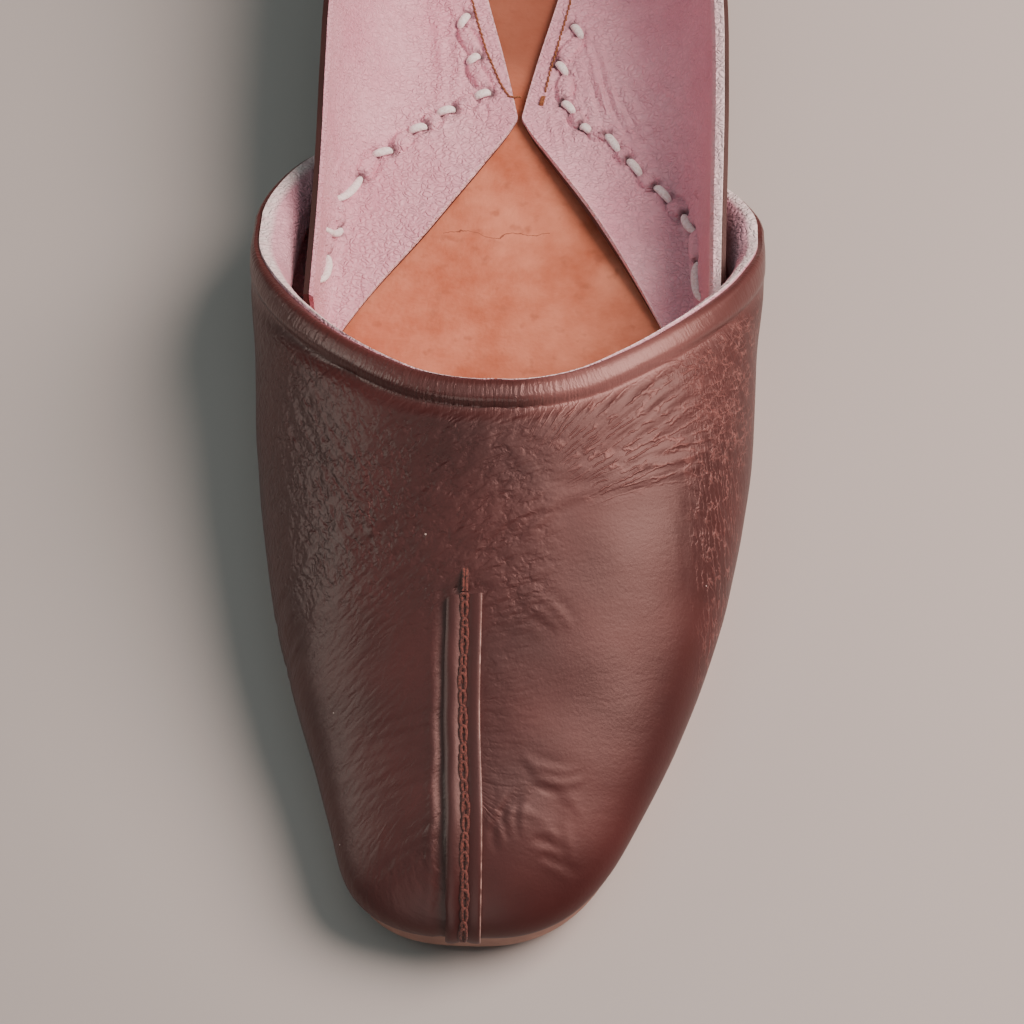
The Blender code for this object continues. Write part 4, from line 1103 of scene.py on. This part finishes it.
def lining_height(x, from_toe):
    """Height of the lining's face at a place seen from above."""
    margin, fold, topline, height = quarter_sizes(from_toe)
    base = quarter_base(from_toe)
    climb = np.clip((abs(x - centre(from_toe)) - fold) / (topline - fold), 0.0, 1.0)
    return base + (sole_top(from_toe) + height - base) * (1.0 - np.sqrt(1.0 - climb ** 2))


def over_lining(x, from_toe, rise):
    """A place so far above the lining's face, square to it across the foot."""
    step = LINING_SLOPE_STEP
    slope = (lining_height(x + step, from_toe) - lining_height(x - step, from_toe)) / (2 * step)
    out = np.array((-slope, 0.0, 1.0)) / np.hypot(slope, 1.0)
    return to_frame(x, from_toe, lining_height(x, from_toe)) + out * rise


def on_lining(x, from_toe, rise):
    """A place so far above the lining's face, straight up."""
    return to_frame(x, from_toe, lining_height(x, from_toe) + rise)


def laid_flat(x, from_toe):
    """How far a place of a quarter lies from the middle line, its wall laid flat beside its margin."""
    middle = centre(from_toe)
    side = LATERAL if x > middle else MEDIAL
    section = quarter_side(from_toe, side, 0.0)
    reach = np.abs(section[:, 0] + BOX_MIDDLE[0] - middle)
    return side * (reach[0] + np.interp(abs(x - middle), reach, run_along(section)))


def stitch_lift(x, from_toe, rows):
    """How the lining puckers along rows of stitches: holes, rays of small creases, and beads between."""
    lift = np.zeros(len(x))
    for row in rows:
        for index, stitch in enumerate(row):
            for hole_x, hole_place in (stitch[:2], stitch[2:]):
                away = np.hypot(x - hole_x, from_toe - hole_place)
                ray = np.cos(PUCKER_RAYS * np.arctan2(from_toe - hole_place, x - hole_x) + index)
                lift -= HOLE_DEPTH * np.exp(-(away / HOLE_SIZE) ** 2)
                lift += PUCKER * ray * ease(*PUCKER_BEGINS, away) * np.exp(-away / PUCKER_REACH)
        for stitch, following in zip(row, row[1:]):
            first, last = np.array(stitch[2:]), np.array(following[:2])
            middle, span = (first + last) / 2, last - first
            half = np.linalg.norm(span) / 2
            along = ((x - middle[0]) * span[0] + (from_toe - middle[1]) * span[1]) / (2 * half)
            across = (-(x - middle[0]) * span[1] + (from_toe - middle[1]) * span[0]) / (2 * half)
            out = np.hypot(along / half, across / BEAD_HALF_WIDTH)
            lift += BEAD_HEIGHT * np.sqrt(np.clip(1.0 - out ** 2, 0.0, 1.0))
            lift -= BEAD_OUTLINE * np.exp(-((out - BEAD_OUTLINE_AT) / BEAD_OUTLINE_WIDTH) ** 2)
    return lift


def quarter_sections(short):
    """Sections right round the quarters, from the front on the outer side to the front on the inner."""
    places = np.linspace(QUARTER_FRONT, HEEL_CENTRE, QUARTER_STEPS + 1)
    rounds = [quarter_side(place, LATERAL, short) for place in places]
    rounds += [quarter_heel(turn) for turn in np.linspace(0.0, np.pi, HEEL_STEPS + 1)[1:-1]]
    return rounds + [quarter_side(place, MEDIAL, short) for place in places[::-1]]


sections = quarter_sections(0.0)
rows = len(sections[0])
quarter_points = np.concatenate(sections)
quarter_faces = grid_faces(len(sections), rows)[:, ::-1].tolist()
if sheet_normals(quarter_points, quarter_faces)[0, 2] < 0.0:
    quarter_faces = [face[::-1] for face in quarter_faces]
climbs = [run_along(section) for section in sections]
from_topline = np.concatenate([climb[-1] - climb for climb in climbs])
from_margin = np.concatenate(climbs)
quarter_x, quarter_place = from_frame(quarter_points)
edge_x, edge_place = from_frame(np.array([section[0] for section in sections]))
from_middle = from_margin + np.repeat(np.abs(edge_x - centre(edge_place)), rows)
quarter_flat = np.where(quarter_x > centre(quarter_place), from_middle, -from_middle)
flat_stitches = [
    [(laid_flat(x, from_toe), from_toe, laid_flat(x_end, from_toe_end), from_toe_end)
     for x, from_toe, x_end, from_toe_end in row] for row in FLAP_STITCHES.values()]
near_edge = ease(*MARGIN_CALM, from_margin)
flared = np.where(quarter_x > 0.0, 1.0, 0.0) * (1.0 - ease(*RIM_FLARE_ENDS, quarter_place))
rim = RIM_ROLL[MEDIAL] + (RIM_ROLL[LATERAL] - RIM_ROLL[MEDIAL]) * flared
rim *= np.sin(np.pi * np.clip(from_topline / RIM_ROLL_WIDTH, 0.0, 1.0))
rim -= RIM_DROP * np.clip(1.0 - from_topline / RIM_DROP_WIDTH, 0.0, 1.0) ** 2
beside_foot = 1.0 - ease(*PUCKERS_END, quarter_place)
outer = rim + near_edge * beside_foot * (
    ease(*PUCKER_BELOW_RIM, from_topline) * stitch_lift(quarter_flat, quarter_place, flat_stitches)
    + crease_lift(quarter_x, quarter_place, FLAP_FOLDS))
outer += uneven(quarter_points, QUARTER_WAVE_SIZE, QUARTER_WAVE) * near_edge
inner = np.full(len(outer), -QUARTER_LINING)
points, faces = wall(quarter_points, quarter_faces, outer, inner)
raw_edge = RAW_RIM * flared * (1.0 - ease(0.0, RAW_RIM_WIDTH, from_topline))
raw_edge = np.maximum(raw_edge, RAW_MARGIN * (1.0 - ease(*RAW_MARGIN_WIDTH, from_margin)))
# The band below the outer topline is a painted highlight, not a raw edge
raw_edge = np.maximum(raw_edge, PAINTED_HIGHLIGHT_BAND * flared * (1.0 - ease(*PAINTED_HIGHLIGHT_BAND_FADES, from_topline)))
# Painted shade: dark slits in the lining where the needle holes fall in shade
hole = np.zeros(len(quarter_x))
for x, from_toe, x_end, from_toe_end in sum(flat_stitches, []):
    way = np.array((x_end - x, from_toe_end - from_toe))
    way /= np.linalg.norm(way)
    ends = ((x, from_toe), (x_end, from_toe_end))
    for (hole_x, hole_place), dark in zip(ends, HOLE_PAINTED_SHADE):
        along = (quarter_flat - hole_x) * way[0] + (quarter_place - hole_place) * way[1]
        across = (quarter_flat - hole_x) * way[1] - (quarter_place - hole_place) * way[0]
        away = np.hypot((along - HOLE_BEYOND) / HOLE_SLIT[0], across / HOLE_SLIT[1])
        hole = np.maximum(hole, dark * np.exp(-away ** 2))
add_piece(
    "quarter_lining", points, faces, mauve_lining, "mauve_lining", "upper",
    raw_edge=np.tile(raw_edge, 2), hole=np.tile(hole, 2))
leather_points = np.concatenate(quarter_sections(LINING_OVER))
outer = np.full(len(leather_points), -QUARTER_LINING - QUARTER_LAYER_GAP)
inner = np.full(len(leather_points), -QUARTER_WALL)
points, faces = wall(leather_points, quarter_faces, outer, inner)
oxblood_quarter = oxblood("Oxblood quarter leather", wrinkled=False, deep="#24100f", light="#331615")
add_piece("quarter_leather", points, faces, oxblood_quarter, "maroon_leather", "upper")

# Hand stitches
# Thick white cotton, pulled through by hand in a running stitch that holds the turned-in margins down.
# Each stitch is a flattened loop that dives into its two holes.
THREAD_RISE = 0.42
THREAD_DIVE = 0.6
COTTON_HALF_WIDTH = 0.9
COTTON_FLATNESS = 0.75
COTTON_PLUMPNESS = 0.3

# Threads from hole to hole: a share of the way, and how high over the lining
COTTON_PROFILE = (
    (-0.08, -THREAD_DIVE), (0.05, 0.0), (0.25, 0.8 * THREAD_RISE), (0.5, THREAD_RISE),
    (0.75, 0.8 * THREAD_RISE), (0.95, 0.0), (1.08, -THREAD_DIVE),
)
THREAD_STEP = 0.3


def thread_tree():
    """A tree that sweeps every line of a mesh into a thread of an oval section."""
    tree = bpy.data.node_groups.new("Thread", "GeometryNodeTree")
    tree.interface.new_socket("Geometry", in_out="INPUT", socket_type="NodeSocketGeometry")
    for size in ("Half Width", "Flatness", "Plumpness", "Step"):
        tree.interface.new_socket(size, in_out="INPUT", socket_type="NodeSocketFloat")
    tree.interface.new_socket("Finish", in_out="INPUT", socket_type="NodeSocketMaterial")
    tree.interface.new_socket("Geometry", in_out="OUTPUT", socket_type="NodeSocketGeometry")
    given = add(tree, "NodeGroupInput")
    line = add(tree, "GeometryNodeMeshToCurve", {"Mesh": (given, "Geometry")})
    smooth = add(tree, "GeometryNodeCurveSplineType", {"Curve": line}, spline_type="CATMULL_ROM")
    even = add(tree, "GeometryNodeResampleCurve", {
        "Curve": smooth, "Length": (given, "Step")}, mode="LENGTH")
    upright = add(tree, "GeometryNodeSetCurveNormal", {"Curve": even}, mode="Z_UP")
    circle = add(tree, "GeometryNodeCurvePrimitiveCircle", {
        "Resolution": 10, "Radius": (given, "Half Width")})
    flat = add(tree, "ShaderNodeCombineXYZ", {"X": 1.0, "Y": (given, "Flatness"), "Z": 1.0})
    oval = add(tree, "GeometryNodeTransform", {"Geometry": circle, "Scale": flat})
    way = add(tree, "GeometryNodeSplineParameter")
    rest = add(tree, "ShaderNodeMath", {0: 1.0, 1: way}, operation="SUBTRACT")
    swell = add(tree, "ShaderNodeMath", {0: way, 1: rest}, operation="MULTIPLY")
    kept = add(tree, "ShaderNodeMath", {0: swell, 1: 0.015}, operation="MAXIMUM")
    full = add(tree, "ShaderNodeMath", {0: kept, 1: 4.0}, operation="MULTIPLY")
    plump = add(tree, "ShaderNodeMath", {0: full, 1: (given, "Plumpness")}, operation="POWER")
    swept = add(tree, "GeometryNodeCurveToMesh", {
        "Curve": upright, "Profile Curve": oval, "Scale": plump, "Fill Caps": True})
    soft = add(tree, "GeometryNodeSetShadeSmooth", {"Geometry": swept})
    whole = add(tree, "GeometryNodeRealizeInstances", {"Geometry": soft})
    dressed = add(tree, "GeometryNodeSetMaterial", {"Geometry": whole, "Material": (given, "Finish")})
    add(tree, "NodeGroupOutput", {"Geometry": dressed})
    return tree


sweep = thread_tree()


def add_threads(name, lines, half_width, flatness, plumpness, finish):
    """Threads along lines in millimetres, swept by the tree and kept as one plain mesh."""
    points = np.concatenate(lines) * MM
    firsts = np.cumsum([0] + [len(line) for line in lines[:-1]])
    edges = [(first + i, first + i + 1) for first, line in zip(firsts, lines) for i in range(len(line) - 1)]
    mesh = bpy.data.meshes.new(name)
    mesh.from_pydata(points, edges, [])
    guide = bpy.data.objects.new(name + "_guide", mesh)
    bpy.context.scene.collection.objects.link(guide)
    sizes = {
        "Half Width": half_width * MM, "Flatness": flatness, "Plumpness": plumpness,
        "Step": THREAD_STEP * half_width * MM, "Finish": finish}
    threads = guide.modifiers.new("Threads", "NODES")
    threads.node_group = sweep
    for socket in sweep.interface.items_tree:
        if socket.name in sizes and socket.in_out == "INPUT":
            threads[socket.identifier] = sizes[socket.name]
    evaluated = guide.evaluated_get(bpy.context.evaluated_depsgraph_get())
    piece = bpy.data.objects.new(name, bpy.data.meshes.new_from_object(evaluated))
    bpy.context.scene.collection.objects.link(piece)
    bpy.data.objects.remove(guide)
    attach(piece, "root")


def twisted_thread(name, pale, dark, ply):
    """Spun thread: dull, with fine uneven plies of a size in millimetres."""
    finish, tree, shader = new_finish(name)
    place = (add(tree, "ShaderNodeTexCoord"), "Object")
    plies = add(tree, "ShaderNodeTexNoise", {"Vector": place, "Scale": 1 / (ply * MM), "Detail": 3.0})
    shade = add(tree, "ShaderNodeMapRange", {0: plies, 1: 0.35, 2: 0.6})
    colour = add(tree, "ShaderNodeMix", {"Factor": shade, MIX_A: linear(dark), MIX_B: linear(pale)})
    relief = add(tree, "ShaderNodeBump", {"Height": plies, "Strength": 0.6, "Distance": 0.15 * MM})
    feed(tree, shader, {"Base Color": colour, "Roughness": 0.8, "Normal": relief, "Sheen Weight": 0.2})
    return finish


lines = []
for stitches in FLAP_STITCHES.values():
    for x, from_toe, x_end, from_toe_end in stitches:
        line = []
        for share, rise in COTTON_PROFILE:
            at_x = x + (x_end - x) * share
            at_place = from_toe + (from_toe_end - from_toe) * share
            line.append(over_lining(at_x, at_place, rise))
        lines.append(np.array(line))
cotton = twisted_thread("White cotton thread", "#ffffff", "#ebe4e1", 0.5)
add_threads(
    "white_stitches", lines, COTTON_HALF_WIDTH, COTTON_FLATNESS, COTTON_PLUMPNESS, cotton)

# Machine stitches
# A fine line of brown thread, sewn by machine a little outside the edge of each margin behind the waist.
# The inner one ends in a bar of a few stitches across the point, the outer one in a thick knot of thread.
SEAM_LINES = {
    MEDIAL: ((-9.4, 203.1), (-8.0, 197.0), (-6.2, 190.2), (-4.5, 185.6), (-3.0, 181.6), (-1.3, 178.6),
             (0.2, 178.4), (2.2, 179.2)),
    LATERAL: ((10.8, 203.8), (9.9, 199.2), (8.9, 194.8), (8.0, 190.4), (7.0, 186.2), (6.3, 182.1),
              (5.7, 179.0)),
}
SEAM_PITCH = 1.35
SEAM_STITCH = 0.92
SEAM_SLANT = 0.13
SEAM_HALF_WIDTH = 0.2
SEAM_PROFILE = ((0.0, -0.25), (0.12, 0.1), (0.5, 0.22), (0.88, 0.1), (1.0, -0.25))
KNOT_STRANDS = (-0.25, 0.0, 0.25)
KNOT_WAY = (-0.5, -2.3)
KNOT_PROFILE = ((0.0, -0.2), (0.2, 0.35), (0.8, 0.35), (1.0, -0.2))

lines = []
for path in SEAM_LINES.values():
    run = run_along(path)
    for begin in np.arange(0.0, run[-1] - SEAM_PITCH, SEAM_PITCH):
        line = []
        for share, rise in SEAM_PROFILE:
            at = begin + share * SEAM_STITCH * SEAM_PITCH
            at_x, at_place = at_run(run, path, at)
            line.append(on_lining(at_x + SEAM_SLANT * (2.0 * share - 1.0), at_place, rise))
        lines.append(np.array(line))
knot_x, knot_place = SEAM_LINES[LATERAL][-1]
for slip in KNOT_STRANDS:
    line = []
    for share, rise in KNOT_PROFILE:
        at_x = knot_x + slip + KNOT_WAY[0] * share
        line.append(on_lining(at_x, knot_place + KNOT_WAY[1] * share, rise))
    lines.append(np.array(line))
brown_cotton = twisted_thread("Brown machine thread", "#9c6238", "#6d3d1f", 0.3)
add_threads("brown_stitches", lines, SEAM_HALF_WIDTH, 1.0, 0.0, brown_cotton)

# Toe strip
# A narrow strip of the same leather, laid over the toe from the sole to the instep and sewn down its middle
# with a chain of rust thread, which pulls a channel into it. Its outer edge is cut raw.
STRIP_WIDTH = 6.0
STRIP_THICK = 0.75
STRIP_AT_TOE = -5.0
STRIP_AT_TOP = -6.3
STRIP_TOP = 54.0
STRIP_EYE = (30.0, 14.0)
STRIP_ABOVE_SOLE = 1.2
STRIP_STEPS = 150
STRIP_ACROSS = 22
STRIP_CHANNEL = 0.4
STRIP_CHANNEL_WIDTH = 1.1
STRIP_EDGE_ROUND = 0.15
STRIP_EDGE_ROUND_WIDTH = 0.6
STRIP_SEAT = 0.09
STRIP_RAW_EDGE = 0.1
RAY_START = 0.2

foot = feather_point(VAMP_TIP, LATERAL)[2] + STRIP_ABOVE_SOLE
head = ridge_point(STRIP_TOP)[2]
first_angle = np.arctan2(foot - STRIP_EYE[1], STRIP_EYE[0] - FEATHER_TIP)
last_angle = np.arctan2(head - STRIP_EYE[1], STRIP_EYE[0] - STRIP_TOP)
vamp_surface = BVHTree.FromPolygons(
    [vertex.co for vertex in vamp.data.vertices], [face.vertices for face in vamp.data.polygons])


def on_vamp(angle, across):
    """A place on the vamp's face, in a direction from inside the toe and so far across the strip."""
    middle = STRIP_AT_TOE + (STRIP_AT_TOP - STRIP_AT_TOE) * ease(first_angle, last_angle, angle)
    way = Vector((0.0, -np.cos(angle), np.sin(angle)))
    eye = Vector(to_frame(middle + across, *STRIP_EYE)) * MM
    hit = vamp_surface.ray_cast(eye + way * RAY_START, -way)[0]
    return np.array(hit) / MM


angles = np.linspace(first_angle, last_angle, STRIP_STEPS + 1)
acrosses = np.linspace(-STRIP_WIDTH / 2, STRIP_WIDTH / 2, STRIP_ACROSS + 1)
strip_points = np.array([on_vamp(angle, across) for angle in angles for across in acrosses])
strip_faces = grid_faces(STRIP_STEPS + 1, STRIP_ACROSS + 1).tolist()
if sheet_normals(strip_points, strip_faces)[-1, 2] < 0.0:
    strip_faces = [face[::-1] for face in strip_faces]
strip_across = np.tile(acrosses, STRIP_STEPS + 1)
channel = STRIP_CHANNEL * np.exp(-(strip_across / STRIP_CHANNEL_WIDTH) ** 2)
to_edge = (np.abs(strip_across) - STRIP_WIDTH / 2 + STRIP_EDGE_ROUND_WIDTH) / STRIP_EDGE_ROUND_WIDTH
edge_round = STRIP_EDGE_ROUND * np.clip(to_edge, 0.0, 1.0) ** 2
outer = FIT_GAP + STRIP_THICK - channel - edge_round
inner = np.full(len(outer), STRIP_SEAT)
points, faces = wall(strip_points, strip_faces, outer, inner)

# The strip's leather is the vamp's, but its raw outer edge shows pale fibres
strip_leather = oxblood("Oxblood strip leather", wrinkled=False)
tree = strip_leather.node_tree
shader = next(node for node in tree.nodes if node.type == "BSDF_PRINCIPLED")
base = next(link.from_node for link in tree.links if link.to_socket == shader.inputs["Base Color"])
cut = add(tree, "ShaderNodeAttribute", attribute_name="raw_edge")
place = (add(tree, "ShaderNodeTexCoord"), "Object")
frays = add(tree, "ShaderNodeTexNoise", {"Vector": place, "Scale": 1 / (1.8 * MM), "Detail": 4.0})
frayed = add(tree, "ShaderNodeMapRange", {0: frays, 1: 0.42, 2: 0.6, 3: 0.3, 4: 1.0})
showing = add(tree, "ShaderNodeMath", {0: (cut, "Fac"), 1: frayed}, operation="MULTIPLY")
edged = add(tree, "ShaderNodeMix", {"Factor": showing, MIX_A: base, MIX_B: linear("#c9a79e")})
feed(tree, shader, {"Base Color": edged})
raw_edge = np.tile(np.where(strip_across > STRIP_WIDTH / 2 - STRIP_RAW_EDGE, 1.0, 0.0), 2)
add_piece(
    "toe_strip_leather", points, faces, strip_leather, "maroon_strip", "toe_strip", raw_edge=raw_edge)

# Chain stitch
# Rust-coloured thread in a hand-worked chain down the middle of the strip, one loop drawn through the next,
# with a last straight stitch in the vamp above the strip's end.
CHAIN_PITCH = 2.2
CHAIN_HALF_WIDTH = 0.44
CHAIN_THREAD = 0.34
CHAIN_OVERLAP = 1.4
CHAIN_UNEVEN = 0.22
CHAIN_BEGINS = 0.6
CHAIN_STEPS = 15
CHAIN_PULL_RATE = 3.7
CHAIN_SLIP_RATE = 5.3
CHAIN_PINCH = 0.35
CHAIN_RISE = 0.12
CHAIN_DIP = 0.3
CHAIN_DIP_FAR = 0.4
LAST_STITCH = 4.3
LAST_STITCH_PROFILE = ((0.0, 0.9), (0.25, 1.0), (0.6, 0.7), (1.0, -0.4))
LAST_STITCH_STRANDS = ((0.15, 0.0, 0.0), (-0.4, 0.0, -0.05))
ABOVE_SHOE = 90.0

strip_middle = np.array([on_vamp(angle, 0.0) for angle in angles])
facing = sheet_normals(strip_points, strip_faces).reshape(STRIP_STEPS + 1, STRIP_ACROSS + 1, 3)
facing = facing[:, STRIP_ACROSS // 2]
strip_run = run_along(strip_middle)
chain_floor = FIT_GAP + STRIP_THICK - STRIP_CHANNEL


def on_strip(run, across, rise):
    """A place over the strip: so far up its middle, across it, and above its channel."""
    out = at_run(strip_run, facing, run)
    return at_run(strip_run, strip_middle, run) + (across, 0.0, 0.0) + out * (chain_floor + rise)


lines = []
for begin in np.arange(CHAIN_BEGINS, strip_run[-1] - CHAIN_PITCH, CHAIN_PITCH):
    loop = []
    pull = 1.0 + CHAIN_UNEVEN * np.sin(CHAIN_PULL_RATE * begin)
    slip = 0.5 * CHAIN_UNEVEN * np.sin(CHAIN_SLIP_RATE * begin + 1.0)
    for turn in np.linspace(0.0, 2.0 * np.pi, CHAIN_STEPS):
        run = begin + CHAIN_PITCH * CHAIN_OVERLAP * pull * (0.5 - 0.5 * np.cos(turn))
        width = slip + CHAIN_HALF_WIDTH * pull * np.sin(turn) * (1.0 - CHAIN_PINCH * np.cos(turn))
        rise = CHAIN_RISE - CHAIN_DIP * np.cos(turn) * (1.0 if np.cos(turn) > 0 else CHAIN_DIP_FAR)
        loop.append(on_strip(min(run, strip_run[-1]), width, rise))
    lines.append(np.array(loop))
rust = twisted_thread("Rust thread", "#7a4138", "#3a1611", 0.4)
last = []
for share, rise in LAST_STITCH_PROFILE:
    above = Vector(to_frame(STRIP_AT_TOP, STRIP_TOP + LAST_STITCH * share, ABOVE_SHOE)) * MM
    hit = vamp_surface.ray_cast(above, Vector((0, 0, -1)))[0]
    last.append(np.array(hit) / MM + (0.0, 0.0, rise))
lines += [np.array(last) + strand for strand in LAST_STITCH_STRANDS]
add_threads("chain_stitch", lines, CHAIN_THREAD, 1.0, 0.0, rust)

# Stage
# A plain pale floor under three soft lights, the strongest from the outer side, with three cards that show
# only as gloss on the leather, and a camera over the toe at the angle of the photograph.
FLOOR_SIZE = 3.0
CAMERA_TARGET = to_frame(1.5, 70.9, 34.0)
CAMERA_DISTANCE = 560.0
CAMERA_ELEVATION = 62.0
CAMERA_ROLL = 1.5
PIXELS_PER_MM = 5.62
IMAGE_WIDTH = 1024.0
SENSOR = 36.0

floor_paint, tree, shader = new_finish("Pale floor")
place = (add(tree, "ShaderNodeTexCoord"), "Object")
cloudy = add(tree, "ShaderNodeTexNoise", {"Vector": place, "Scale": 4.0, "Detail": 3.0})
pale = add(tree, "ShaderNodeMix", {"Factor": cloudy, MIX_A: linear("#bab8b5"), MIX_B: linear("#c4c2bf")})
feed(tree, shader, {"Base Color": pale, "Roughness": 0.8})
mesh = bpy.data.meshes.new("floor")
half = FLOOR_SIZE / 2
corners = [(x * half, y * half, 0.0) for x, y in ((-1, -1), (1, -1), (1, 1), (-1, 1))]
mesh.from_pydata(corners, [], [(0, 1, 2, 3)])
mesh.materials.append(floor_paint)
floor = bpy.data.objects.new("floor", mesh)
bpy.context.scene.collection.objects.link(floor)

# Each light: name, place and aim in metres, width in metres, watts, colour, whether it lights dull faces
LIGHTS = (
    ("key", (0.47, 0.05, 0.59), (0.0, -0.03, 0.02), 0.60, 9.8, "#ffe4da", True),
    ("fill", (-0.66, 0.08, 0.36), (0.0, -0.03, 0.02), 0.45, 0.5, "#dcece6", True),
    ("overhead", (-0.10, -0.15, 0.95), (0.0, -0.05, 0.0), 0.90, 1.4, "#f2f8f4", True),
    ("side_card", (-0.70, -0.10, 0.42), (-0.03, -0.05, 0.03), 0.50, 2.2, "#d4e8e0", False),
    ("top_card", (0.22, -0.10, 0.93), (0.0, -0.05, 0.04), 0.30, 0.6, "#f0eef0", False),
    ("front_card", (-0.12, -0.82, 0.46), (0.0, -0.12, 0.02), 0.60, 1.6, "#e0f0ea", False),
)
for name, spot, aim, size, power, colour, lights_dull in LIGHTS:
    lamp = bpy.data.lights.new(name, "AREA")
    lamp.shape = "DISK"
    lamp.size = size
    lamp.energy = power
    lamp.color = linear(colour)[:3]
    light = bpy.data.objects.new(name, lamp)
    light.location = spot
    light.visible_diffuse = lights_dull
    light.rotation_euler = (Vector(aim) - Vector(spot)).to_track_quat("-Z", "Y").to_euler()
    bpy.context.scene.collection.objects.link(light)
world = bpy.data.worlds.new("Studio")
world.use_nodes = True
world.node_tree.nodes["Background"].inputs["Color"].default_value = linear("#d8dade")
world.node_tree.nodes["Background"].inputs["Strength"].default_value = 0.08
bpy.context.scene.world = world

tilt = np.radians(CAMERA_ELEVATION)
back = Vector((0.0, -np.cos(tilt), np.sin(tilt)))
lens = bpy.data.cameras.new("camera")
lens.sensor_width = SENSOR
lens.lens = SENSOR * PIXELS_PER_MM * CAMERA_DISTANCE / IMAGE_WIDTH
camera = bpy.data.objects.new("camera", lens)
level = back.to_track_quat("Z", "Y").to_matrix()
camera.matrix_world = Matrix.Translation((Vector(CAMERA_TARGET) + back * CAMERA_DISTANCE) * MM) @ (
    level @ Matrix.Rotation(np.radians(CAMERA_ROLL), 3, "Z")).to_4x4()
bpy.context.scene.collection.objects.link(camera)
bpy.context.scene.camera = camera
